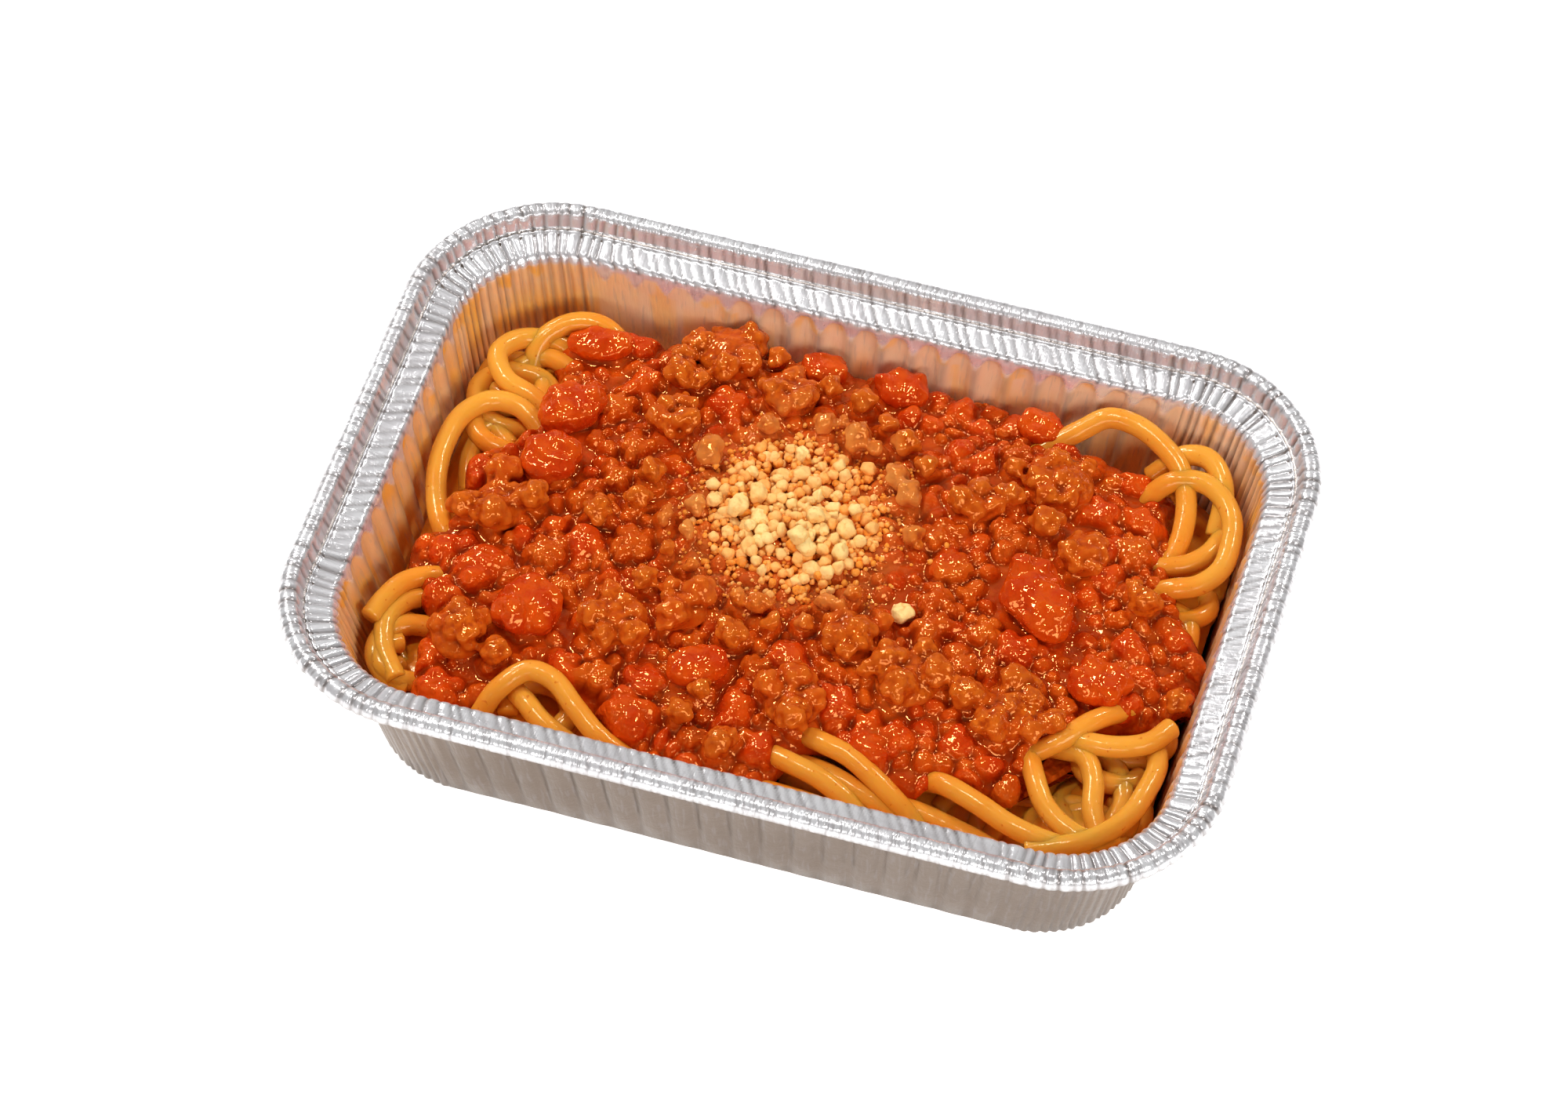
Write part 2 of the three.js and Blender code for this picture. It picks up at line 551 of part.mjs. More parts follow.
const random = makeRandom(33);
const placed = [{ x: CHEESE.x, y: CHEESE.y, radius: CHEESE.halfX }];
TOMATO_PIECES.forEach((piece, i) => {
  const [x, y, length, width] = piece;
  placed.push({ x, y, radius: (length + width) / 4 });
  const name = `tomato_${String(i + 1).padStart(2, '0')}`;
  addNode(name, geometryOf(tomatoPiece(random, piece, foodRoom, sauceRaised)), materials.tomato);
});
MINCE_CLUMPS.forEach((clump, i) => {
  const crumbs = clumpCrumbs(random, clump, placed);
  placed.push(...crumbs);
  const name = `mince_${String(i + 1).padStart(2, '0')}`;
  addNode(name, geometryOf(minceClump(random, crumbs, foodRoom, sauceRaised)), materials.mince);
});
addNode('meat_sauce', geometryOf(sauceWithLumps(random, bareSauce, foodRoom, placed)), materials.sauce);
addNode('cheese_crumbs', geometryOf(cheeseHeap(random, sauceRaised)), materials.cheese);

export default group;
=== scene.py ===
"""Foil tray meal: an oblong aluminium foil tray with spaghetti, meat sauce, mince, tomato and cheese.

Lengths are in millimetres, in the frame of the CAD model: X along the tray, Z up, the origin in the
middle of the underside. Meshes are scaled to metres as they are made.
"""

import itertools
import math

import bmesh
import bpy
import numpy as np
from mathutils import Matrix, Vector
from mathutils.kdtree import KDTree


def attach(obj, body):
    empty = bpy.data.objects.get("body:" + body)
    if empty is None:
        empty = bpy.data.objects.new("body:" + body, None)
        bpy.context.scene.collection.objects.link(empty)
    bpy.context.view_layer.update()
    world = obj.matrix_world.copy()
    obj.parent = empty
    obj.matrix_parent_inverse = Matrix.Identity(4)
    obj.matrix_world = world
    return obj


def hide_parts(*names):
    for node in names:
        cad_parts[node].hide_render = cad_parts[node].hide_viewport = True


MM = 0.001

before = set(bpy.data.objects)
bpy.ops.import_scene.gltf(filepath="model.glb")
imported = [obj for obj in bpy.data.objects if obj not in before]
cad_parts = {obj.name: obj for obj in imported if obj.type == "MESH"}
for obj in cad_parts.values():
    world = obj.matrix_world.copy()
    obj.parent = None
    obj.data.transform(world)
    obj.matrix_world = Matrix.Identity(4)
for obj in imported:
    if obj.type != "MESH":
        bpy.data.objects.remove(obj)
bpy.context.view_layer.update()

# ---------------------------------------------------------------- dimensions, as in the CAD source

TRAY = dict(length=180, width=128, height=44, corner_radius=30, inner_corner_radius=20.4,
            bead_radius=2.1, ridge_inset=4.85, ridge_z=40, ledge_inset=9.6, ledge_z=39,
            foot_inset=16.4, foot_round=2.7, foil=0.6)
FLUTE_DEPTH = 0.42
LONG_SIDE_FLUTES = 19
SHORT_SIDE_FLUTES = 11
MOUND = dict(top=33.4, fall=4.8, power=3, half_x=77, half_y=51)
NOODLE_RADIUS = 2.1

SAUCE_EDGE = [
    (78, 3), (71, 12), (66, 20), (65.5, 28), (62, 34), (62, 40), (50, 44), (41, 45), (36, 53),
    (18, 55), (0, 55), (-18, 54), (-34, 53), (-42, 47), (-53, 46), (-61, 39), (-59, 31),
    (-58, 26), (-61, 17), (-68, 9), (-67, -3), (-73, -13), (-70, -22), (-65, -29), (-64, -40),
    (-59, -51), (-48, -43), (-42, -36), (-34, -38.5), (-25, -44), (-17, -52), (2, -53),
    (8, -43), (11, -38), (19, -38.5), (26, -40.5), (33, -42), (37, -37.5), (44, -37), (51, -39),
    (52, -34), (54, -26), (63, -17), (72, -13), (79, -5),
]

# Noodles that show, each by the points its centre line passes through: x, y, z.
NOODLES = [
    # far left corner
    [(-55, 23, 27), (-62, 25.5, 29.5), (-67.5, 27.5, 30), (-71, 33, 30), (-68.5, 38.5, 29),
     (-62, 41, 27.5), (-56, 40, 25)],
    [(-65, 34, 24.5), (-64.5, 39.5, 28.5), (-60, 44.3, 30), (-54, 45.5, 30), (-46, 42, 27)],
    [(-56, 36, 26.5), (-63, 37.5, 26.5), (-67, 34.5, 25.5), (-70, 29, 24), (-72, 22, 22)],
    [(-56, 18, 26.5), (-63, 22.5, 29), (-69, 22.5, 29), (-73, 18, 29), (-74.3, 11, 28.5),
     (-73.5, 3, 28), (-70, -6, 27), (-64, -13, 25)],
    [(-63, 16, 24.5), (-68, 19.5, 25), (-70, 13, 23.5), (-68, 5, 22)],
    # near left corner
    [(-74.8, -32.5, 28), (-73.5, -28, 28.5), (-71, -23, 28.5), (-66, -19, 27), (-58, -15, 20)],
    [(-64, -21, 24.5), (-70, -26, 26.5), (-72, -31, 26.5), (-70.5, -37, 26), (-66, -43, 25.5)],
    # arch at the front left
    [(-49, -46, 25), (-46.5, -42.5, 29.5), (-42, -38, 31.5), (-37, -38.5, 31.5), (-31, -43, 30.5),
     (-25, -47, 29), (-18, -48.5, 26)],
    [(-46, -38, 25.5), (-41, -42.5, 28), (-37, -45.5, 27.5), (-30, -48, 25.5)],
    # far right corner
    [(33, 41, 27), (41.5, 47, 31.5), (46, 49.4, 33.8), (51.5, 49.2, 33.8), (56.5, 47, 33.2),
     (61.5, 43.2, 32), (64.3, 38, 30.2), (65.5, 31, 28.3), (64.5, 22, 26)],
    [(56, 43, 27), (61.8, 46.6, 31.5), (66.3, 46.4, 32.5), (69.4, 43.6, 32), (71.2, 39.5, 30.5),
     (71.5, 33, 27)],
    [(53, 35, 21), (60.5, 39.8, 31), (66, 41, 32), (70.5, 39, 32), (74, 34.5, 31.5),
     (75.2, 28.5, 31), (74.8, 23, 30.5), (71.5, 18.5, 30), (66.5, 16.8, 29), (57, 16.5, 21)],
    [(73, 33, 27.5), (71.5, 28, 28), (68, 24, 28), (63, 22, 27.5), (55, 21, 20)],
    [(58, 12, 24.5), (66, 15, 25.5), (71, 13.5, 25), (72.5, 8, 24), (71, 1, 22.5)],
    # near right corner
    [(67, -11, 28), (61, -18, 31), (56, -24, 30.5), (48, -29, 27)],
    [(54, -20.5, 27), (61, -22.5, 30), (67, -22, 30.5), (72, -19.5, 30.5), (75.1, -14.5, 30)],
    [(50, -24, 27.5), (53.5, -32, 29.5), (57, -37.5, 29), (62, -41, 28.5), (67, -42, 28),
     (71, -39, 27)],
    [(49, -23, 26), (56, -23.5, 27.5), (61, -24.5, 28.5), (64, -29, 28), (65.5, -35, 27),
     (68.5, -40, 25.5)],
    [(72, -15, 26.5), (74.5, -23, 28.5), (74, -29, 29), (72.5, -35, 29), (69, -40.5, 29),
     (64, -44, 28.5), (56, -46.8, 27)],
    [(62, -18, 23.5), (68, -24.5, 25), (70, -30, 24.5), (68, -37, 23)],
    # front edge
    [(29, -34, 20), (38, -38.5, 29), (45, -41, 29.5), (52, -43.3, 28.5), (59, -44.5, 28),
     (67, -43.5, 26)],
    [(5, -32, 26), (14.5, -37, 30.5), (20, -38.5, 30.5), (26, -41.5, 29.5), (32, -44.5, 27),
     (38, -47, 22.5), (44, -46, 19)],
    [(-1, -38, 26), (9.5, -42, 29), (16, -43.5, 28.5), (22, -45.5, 26.5), (28, -47.5, 22.5),
     (34, -46, 19)],
]

# Large clumps of mince: x, y, width across, lift over the sauce.
MINCE_CLUMPS = [
    (-28, 45, 15, 2.4), (-14, 38.5, 13, 0.6), (-33, 26, 12, 0.4), (-59, -3, 14, 0.6),
    (-57, -33, 13.5, 0.6), (-30, -22.5, 15, 0.7), (7, -31, 14, 0.6), (26, -20.5, 15, 0.6),
    (46, -21, 16, 0.6), (41, 33, 16.5, 0.6), (13.5, -14.5, 13, 0.5), (-18, -17, 11, 0.4),
    (50, 17, 11, 0.4), (28, 24, 11, 0.5),
]

# Pieces of tomato: x, y, length, width, turn in degrees.
TOMATO_PIECES = [
    (-46, -24.5, 13.5, 13, 20), (-53, 9.5, 13, 11, 60), (-53, 22.5, 14, 11, 40),
    (-53, 41, 14, 8, 10), (6, 47, 11, 9, 0), (-9.5, 47.5, 10, 8, 0), (44.5, 4, 21, 13, -52),
    (60, -10, 13, 10, 20), (-12, -29, 13, 9.5, 25), (34, 46, 10, 8, 0),
]

CHEESE = dict(x=-4.5, y=10, half_x=17, half_y=17)

# ---------------------------------------------------------------- numbers and noise


def smoothstep(low, high, x):
    t = np.clip((x - low) / (high - low), 0, 1)
    return t * t * (3 - 2 * t)


def noise(points, size, seed=0):
    """Smooth value noise from -1 to 1 at points, with features of about the given size."""
    scaled = np.asarray(points, float) / size + 100.5 + 17.3 * seed
    cell = np.floor(scaled).astype(np.int64)
    part = scaled - cell
    part = part * part * (3 - 2 * part)
    total = 0
    for corner in itertools.product((0, 1), repeat=scaled.shape[-1]):
        hashed = np.full(scaled.shape[:-1], seed * 7919 + 12345, np.int64)
        weight = 1.0
        for axis, side in enumerate(corner):
            hashed = (hashed ^ (cell[..., axis] + side) * (374761393, 668265263, 920419823)[axis])
            hashed = (hashed * 1274126177) & 0x7FFFFFFF
            hashed ^= hashed >> 15
            weight = weight * (part[..., axis] if side else 1 - part[..., axis])
        total = total + weight * ((hashed & 0xFFFF) / 32767.5 - 1)
    return total


def rough(points, size, seed=0, octaves=3):
    """Sum of noise at a size and its halves."""
    return sum(noise(points, size / 2 ** i, seed + i) / 2 ** i for i in range(octaves))


def mound_z(x, y):
    """Height of the dome that the food makes, which its pieces are placed on."""
    power = MOUND["power"]
    across = np.abs(x / MOUND["half_x"]) ** power + np.abs(y / MOUND["half_y"]) ** power
    return MOUND["top"] - MOUND["fall"] * np.minimum(across, 1.5)


def turned(x, y, angle):
    """A vector's parts along a direction in plan and across it."""
    return x * math.cos(angle) + y * math.sin(angle), y * math.cos(angle) - x * math.sin(angle)


def around(random, count, jitter):
    """Angles round a middle from a random first one on, evenly spaced but for a jitter."""
    first = random.uniform(0, 2 * math.pi)
    for i in range(count):
        yield first + 2 * math.pi * i / count + random.uniform(-jitter, jitter)


def wall_inset(z):
    """Inset of the wall's outer face at a height."""
    rise = np.clip(np.asarray(z, float) / TRAY["ledge_z"], 0, 1)
    return TRAY["foot_inset"] + (TRAY["ledge_inset"] - TRAY["foot_inset"]) * rise


def wall_distance(x, y, z):
    """How far a point is inside the inner face of the tray's wall, and the way out in plan."""
    inset = wall_inset(z) + TRAY["foil"] + FLUTE_DEPTH
    corner = TRAY["inner_corner_radius"] - TRAY["foil"] - FLUTE_DEPTH
    qx = np.abs(x) - (TRAY["length"] / 2 - inset - corner)
    qy = np.abs(y) - (TRAY["width"] / 2 - inset - corner)
    outside = np.hypot(np.maximum(qx, 0), np.maximum(qy, 0))
    distance = corner - outside - np.minimum(np.maximum(qx, qy), 0)
    in_corner = (qx > 0) & (qy > 0)
    length = np.maximum(outside, 1e-9)
    out_x = np.where(in_corner, np.maximum(qx, 0) / length, qx > qy) * np.sign(x)
    out_y = np.where(in_corner, np.maximum(qy, 0) / length, qx <= qy) * np.sign(y)
    return distance, out_x, out_y


def keep_inside(points, clearance):
    """Moves points away from the tray's wall where they are nearer to it than the clearance."""
    moved = np.array(points, float)
    distance, out_x, out_y = wall_distance(moved[:, 0], moved[:, 1], moved[:, 2])
    push = np.maximum(clearance - distance, 0)
    moved[:, 0] -= push * out_x
    moved[:, 1] -= push * out_y
    return moved


def spline(points, step, closed=False):
    """Centripetal Catmull-Rom curve through the points, in even steps of about that length."""
    p = np.asarray(points, float)
    if closed:
        p = np.vstack([p[-1], p, p[0], p[1]])
    else:
        p = np.vstack([2 * p[0] - p[1], p, 2 * p[-1] - p[-2]])
    fine = []
    for p0, p1, p2, p3 in zip(p, p[1:], p[2:], p[3:]):
        d0, d1, d2 = (math.sqrt(np.linalg.norm(b - a)) for a, b in ((p0, p1), (p1, p2), (p2, p3)))
        m1 = ((p1 - p0) / d0 - (p2 - p0) / (d0 + d1) + (p2 - p1) / d1) * d1
        m2 = ((p2 - p1) / d1 - (p3 - p1) / (d1 + d2) + (p3 - p2) / d2) * d1
        t = np.linspace(0, 1, 24, endpoint=False)[:, None]
        fine.append((2 * t**3 - 3 * t**2 + 1) * p1 + (t**3 - 2 * t**2 + t) * m1
                    + (3 * t**2 - 2 * t**3) * p2 + (t**3 - t**2) * m2)
    fine.append(p[-2][None])
    fine = np.vstack(fine)
    run = np.concatenate([[0], np.cumsum(np.linalg.norm(np.diff(fine, axis=0), axis=1))])
    count = max(3, int(round(run[-1] / step)))
    at = np.linspace(0, run[-1], count + 1)
    even = np.stack([np.interp(at, run, fine[:, axis]) for axis in range(p.shape[1])], axis=1)
    return even[:-1] if closed else even


def outline_distance(x, y, outline):
    """How far points lie inside a closed outline. It is negative outside."""
    distance = np.full(x.shape, np.inf)
    inside = np.zeros(x.shape, bool)
    for (ax, ay), (bx, by) in zip(outline, np.roll(outline, -1, axis=0)):
        dx, dy = bx - ax, by - ay
        t = np.clip(((x - ax) * dx + (y - ay) * dy) / (dx * dx + dy * dy), 0, 1)
        distance = np.minimum(distance, np.hypot(x - ax - t * dx, y - ay - t * dy))
        if dy:
            inside ^= ((ay > y) != (by > y)) & (x < ax + dx * (y - ay) / dy)
    return np.where(inside, distance, -distance)


# ---------------------------------------------------------------- the photograph's view

PHOTO_WIDTH, PHOTO_HEIGHT = 2000, 1400    # pixels
VIEW = dict(azimuth=15.712, elevation=52.789, roll=1.075, distance=1199.42,
            slide_right=-3.31, slide_up=22.39, lens=143.99, sensor=36)
PIXELS_PER_MM = dict(across=6.72, down=6.0)    # on the food

# Lumps of the food that show: centre x, y, width and height in the photograph's pixels.
RED_LUMPS = [
    (608, 597, 49, 53), (704, 584, 78, 67), (547, 682, 35, 33), (568, 693, 45, 41), (594, 686, 33, 30),
    (615, 715, 82, 61), (668, 680, 41, 25), (711, 662, 45, 33), (743, 691, 41, 53), (572, 754, 51, 45),
    (668, 778, 82, 82), (720, 846, 57, 41), (822, 862, 53, 41), (797, 905, 78, 61), (561, 870, 53, 53),
    (546, 830, 37, 58), (616, 897, 53, 33), (725, 433, 50, 46), (768, 428, 40, 40), (817, 433, 71, 46),
    (817, 487, 58, 51), (710, 522, 84, 74), (926, 512, 53, 51), (782, 730, 31, 33), (887, 844, 86, 53),
    (907, 857, 31, 31), (854, 869, 45, 35), (846, 936, 24, 24), (936, 902, 67, 47), (1008, 834, 66, 45),
    (1066, 891, 51, 47), (966, 950, 53, 41), (1105, 916, 53, 37), (1105, 946, 67, 41),
    (1142, 932, 41, 41), (1146, 939, 57, 41), (1179, 923, 37, 38), (1222, 943, 49, 47),
    (1257, 968, 35, 39), (1230, 986, 41, 37), (1187, 1002, 49, 37), (1395, 892, 71, 41),
    (1404, 699, 40, 40), (1409, 730, 43, 43), (1389, 754, 31, 32), (1306, 722, 84, 64),
    (1326, 775, 80, 66), (1350, 815, 60, 60), (1296, 823, 51, 51), (1441, 822, 61, 38),
    (1456, 860, 52, 43), (1501, 809, 46, 30), (1395, 878, 64, 43), (1432, 897, 46, 43),
    (1407, 837, 27, 27), (1247, 542, 45, 33), (1302, 542, 51, 38), (1221, 573, 41, 35),
    (1251, 591, 47, 37), (1357, 569, 53, 37), (1445, 610, 45, 41), (1453, 581, 45, 31),
    (1400, 652, 55, 47), (1453, 658, 55, 49), (1206, 714, 57, 41), (1058, 467, 67, 47),
    (1164, 477, 67, 55), (1158, 524, 45, 35), (1190, 538, 37, 41), (1195, 502, 45, 24),
    (1225, 518, 65, 37), (1338, 524, 51, 43), (1292, 539, 48, 33), (990, 461, 31, 22),
]
COATED_LUMPS = [
    (714, 605, 28, 28), (643, 603, 53, 41), (782, 601, 53, 45), (751, 627, 45, 45), (774, 648, 41, 39),
    (696, 701, 61, 45), (764, 703, 22, 31), (715, 744, 45, 49), (521, 719, 26, 26), (759, 856, 45, 45),
    (801, 685, 55, 53), (780, 758, 37, 31), (858, 748, 29, 33), (893, 758, 37, 51), (858, 787, 51, 47),
    (891, 813, 33, 31), (966, 846, 31, 41), (915, 781, 27, 27), (979, 875, 41, 47), (1015, 867, 53, 41),
    (960, 847, 29, 31), (1058, 855, 37, 31), (887, 934, 41, 31), (789, 512, 53, 46), (763, 553, 33, 20),
    (817, 563, 51, 36), (1444, 705, 34, 46), (1522, 840, 38, 43), (1300, 579, 43, 45),
    (1278, 671, 37, 37), (1200, 681, 57, 51), (1441, 697, 37, 51), (1262, 502, 43, 37),
    (1212, 719, 66, 38), (1194, 760, 66, 38), (1189, 793, 51, 51), (1127, 795, 28, 31),
    (1255, 798, 46, 46), (1263, 844, 38, 31), (1232, 841, 33, 26), (1283, 1002, 35, 39),
    (1429, 785, 31, 22), (1355, 898, 24, 29), (1237, 752, 31, 26),
]
MINCE_LUMPS = [
    (594, 644, 41, 47), (629, 654, 49, 53), (653, 625, 24, 24), (678, 635, 47, 47), (594, 805, 61, 67),
    (630, 832, 39, 45), (618, 789, 27, 29), (585, 778, 35, 33), (755, 785, 45, 45), (769, 809, 37, 35),
    (806, 809, 37, 39), (795, 772, 27, 33), (779, 762, 33, 31), (823, 738, 33, 39), (797, 771, 20, 33),
    (931, 809, 41, 49), (893, 879, 31, 33), (866, 908, 39, 37), (1011, 914, 49, 49), (917, 950, 49, 41),
    (932, 940, 27, 27), (1066, 813, 39, 41), (1094, 811, 51, 55), (1084, 795, 31, 31),
    (1079, 830, 37, 31), (1107, 853, 31, 29), (1133, 841, 48, 46), (1145, 877, 56, 50),
    (1196, 862, 56, 48), (1179, 829, 38, 31), (1235, 887, 51, 48), (1293, 869, 46, 43),
    (1287, 902, 37, 41), (1265, 925, 46, 50), (1316, 935, 35, 37), (1342, 923, 39, 41),
    (1316, 892, 37, 33), (1319, 872, 20, 20), (1459, 770, 43, 46), (1447, 751, 31, 28),
    (1502, 897, 38, 40), (1363, 705, 36, 33), (1335, 669, 49, 41), (1349, 591, 41, 41),
    (1325, 612, 35, 39), (1386, 599, 29, 33), (1370, 622, 35, 29), (1353, 638, 22, 22),
    (1288, 634, 39, 43), (1249, 626, 37, 33), (1225, 640, 39, 39), (1235, 652, 20, 20),
    (1294, 597, 33, 31), (1101, 449, 29, 29), (988, 501, 43, 45), (1023, 510, 41, 43),
    (1017, 479, 31, 31), (1060, 495, 33, 37), (1101, 514, 41, 37), (1052, 542, 33, 33),
    (1076, 540, 22, 22), (1095, 561, 47, 41), (1133, 542, 35, 27), (1117, 573, 27, 27),
    (1154, 567, 43, 39), (1144, 608, 43, 37), (1180, 595, 29, 41), (1160, 632, 41, 41),
    (1166, 686, 36, 33), (870, 479, 48, 41), (893, 484, 33, 29), (916, 474, 33, 25), (851, 520, 41, 33),
    (874, 538, 46, 38), (894, 438, 46, 41), (937, 408, 43, 38), (960, 436, 56, 50), (919, 428, 31, 31),
    (993, 459, 36, 33), (873, 456, 40, 36), (970, 420, 31, 31), (832, 604, 41, 38), (906, 576, 51, 38),
    (763, 650, 46, 38), (814, 637, 41, 31), (888, 645, 31, 28), (1053, 770, 31, 28),
    (1071, 778, 28, 28), (848, 656, 28, 28), (878, 677, 27, 27), (850, 699, 27, 24), (882, 722, 27, 22),
    (942, 764, 27, 31), (966, 771, 31, 27), (978, 771, 22, 22), (984, 795, 33, 27), (1027, 795, 31, 29),
    (980, 542, 41, 22), (1089, 757, 28, 28),
]

# Crumbs of cheese that lie apart: centre x, y and width in pixels, and how pale they are.
CHEESE_OUTLIERS = [(1150, 775, 28, 1.0), (1345, 725, 9, 0.6), (1215, 692, 8, 0.7), (1187, 712, 9, 0.6)]


def view_axes():
    """The camera's place, and its directions forward, right and up."""
    azimuth, elevation, roll = (math.radians(VIEW[key]) for key in ("azimuth", "elevation", "roll"))
    forward = np.array([-math.cos(elevation) * math.sin(azimuth),
                        math.cos(elevation) * math.cos(azimuth), -math.sin(elevation)])
    level = np.array([math.cos(azimuth), math.sin(azimuth), 0.0])
    raised = np.cross(level, forward)
    right = level * math.cos(roll) + raised * math.sin(roll)
    up = raised * math.cos(roll) - level * math.sin(roll)
    place = -forward * VIEW["distance"] + right * VIEW["slide_right"] + up * VIEW["slide_up"]
    return place, forward, right, up


def on_food(px, py, lift):
    """Places on the food, a lift over its dome, that show at pixels of the photograph."""
    place, forward, right, up = view_axes()
    px, py = np.atleast_1d(px), np.atleast_1d(py)
    scale = VIEW["sensor"] / VIEW["lens"] / PHOTO_WIDTH
    ray = (forward + scale * (px - PHOTO_WIDTH / 2)[:, None] * right
           - scale * (py - PHOTO_HEIGHT / 2)[:, None] * up)
    z = np.full(len(px), float(MOUND["top"]))
    for _ in range(6):
        x, y = (place + ray * ((z - place[2]) / ray[:, 2])[:, None])[:, :2].T
        z = mound_z(x, y) + lift
    return x, y, z


def placed_lumps(table, lift):
    """Lumps as rows of x, y, z and diameter."""
    table = np.array(table, float)
    x, y, z = on_food(table[:, 0], table[:, 1], lift)
    across = (table[:, 2] / PIXELS_PER_MM["across"] + table[:, 3] / PIXELS_PER_MM["down"]) / 2
    return np.stack([x, y, z, across], axis=1)


# ---------------------------------------------------------------- meshes


def new_mesh(name, points, faces, attributes=()):
    """A smooth mesh from points in millimetres and arrays of faces, with float attributes."""
    mesh = bpy.data.meshes.new(name)
    mesh.vertices.add(len(points))
    mesh.vertices.foreach_set("co", (np.asarray(points) * MM).astype(np.float32).ravel())
    corners = np.concatenate([np.asarray(f).ravel() for f in faces]).astype(np.int32)
    sizes = np.concatenate([np.full(len(f), np.asarray(f).shape[1]) for f in faces])
    mesh.loops.add(len(corners))
    mesh.loops.foreach_set("vertex_index", corners)
    mesh.polygons.add(len(sizes))
    starts = np.concatenate([[0], np.cumsum(sizes)[:-1]]).astype(np.int32)
    mesh.polygons.foreach_set("loop_start", starts)
    mesh.polygons.foreach_set("use_smooth", np.ones(len(sizes), bool))
    mesh.update(calc_edges=True)
    mesh.validate()
    for key, values in dict(attributes).items():
        values = np.asarray(values, np.float32)
        kind = "FLOAT_VECTOR" if values.ndim == 2 else "FLOAT"
        field = "vector" if values.ndim == 2 else "value"
        mesh.attributes.new(key, kind, "POINT").data.foreach_set(field, values.ravel())
    return mesh


def new_object(name, data):
    """An object that shows the data, in the scene."""
    made = bpy.data.objects.new(name, data)
    bpy.context.scene.collection.objects.link(made)
    return made


def add_piece(name, mesh, material, nodes):
    piece = new_object(name, mesh)
    mesh.materials.append(material)
    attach(piece, "root")
    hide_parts(*nodes)


def loft(rings, ends):
    """A closed skin over rings of points, with a fan of triangles to the middle of each end. The
    rings run anticlockwise as seen from the last one."""
    rows, columns = len(rings), len(rings[0])
    ring = np.arange(rows * columns).reshape(rows, columns)
    following = np.roll(ring, -1, axis=1)
    first = np.full(columns, rows * columns)
    quads = np.stack([ring[:-1], following[:-1], following[1:], ring[1:]], -1).reshape(-1, 4)
    faces = [quads, np.stack([first, following[0], ring[0]], -1),
             np.stack([first + 1, ring[-1], following[-1]], -1)]
    return np.vstack([*rings, ends]), faces


def icosphere(divisions):
    bm = bmesh.new()
    bmesh.ops.create_icosphere(bm, subdivisions=divisions, radius=1)
    points = np.array([v.co[:] for v in bm.verts])
    faces = np.array([[v.index for v in f.verts] for f in bm.faces])
    bm.free()
    return points, faces


ICOSPHERES = {divisions: icosphere(divisions) for divisions in (2, 3, 4)}


def joined(parts):
    """Several (points, list of face arrays) as one."""
    points, faces, start = [], [], 0
    for part_points, part_faces in parts:
        points.append(part_points)
        faces.extend(np.asarray(f) + start for f in part_faces)
        start += len(part_points)
    return np.vstack(points), faces


def remeshed(parts, voxel):
    """Overlapping closed shapes as one skin of evenly sized quads."""
    points, faces = joined(parts)
    source = new_object("remesh", new_mesh("remesh", points, faces))
    modifier = source.modifiers.new("remesh", "REMESH")
    modifier.mode = "VOXEL"
    modifier.voxel_size = voxel * MM
    evaluated = source.evaluated_get(bpy.context.evaluated_depsgraph_get())
    mesh = evaluated.to_mesh()
    skin = np.empty(len(mesh.vertices) * 3, np.float32)
    mesh.vertices.foreach_get("co", skin)
    quads = np.empty(len(mesh.loops), np.int32)
    mesh.loops.foreach_get("vertex_index", quads)
    evaluated.to_mesh_clear()
    old = source.data
    bpy.data.objects.remove(source)
    bpy.data.meshes.remove(old)
    return skin.reshape(-1, 3).astype(float) / MM, quads.reshape(-1, 4)


def edges_of(quads):
    """The edges of quads, each once per quad that uses it."""
    return np.concatenate([quads[:, [k, (k + 1) % 4]] for k in range(4)])


def smoothed(points, quads, rounds):
    """Points moved half way to the mean of their neighbours, some times over."""
    edges = np.unique(np.sort(edges_of(quads), axis=1), axis=0)
    a = np.concatenate([edges[:, 0], edges[:, 1]])
    b = np.concatenate([edges[:, 1], edges[:, 0]])
    degree = np.bincount(a, minlength=len(points))[:, None]
    for _ in range(rounds):
        total = np.stack([np.bincount(a, points[b, k], len(points)) for k in range(3)], axis=1)
        points = points + 0.5 * (total / degree - points)
    return points


def normals_of(points, quads):
    across = points[quads[:, 2]] - points[quads[:, 0]]
    along = points[quads[:, 3]] - points[quads[:, 1]]
    face = np.cross(across, along)
    normals = np.zeros_like(points)
    for k in range(quads.shape[1]):
        for axis in range(3):
            normals[:, axis] += np.bincount(quads[:, k], face[:, axis], len(points))
    return normals / np.maximum(np.linalg.norm(normals, axis=1), 1e-12)[:, None]


# ---------------------------------------------------------------- materials


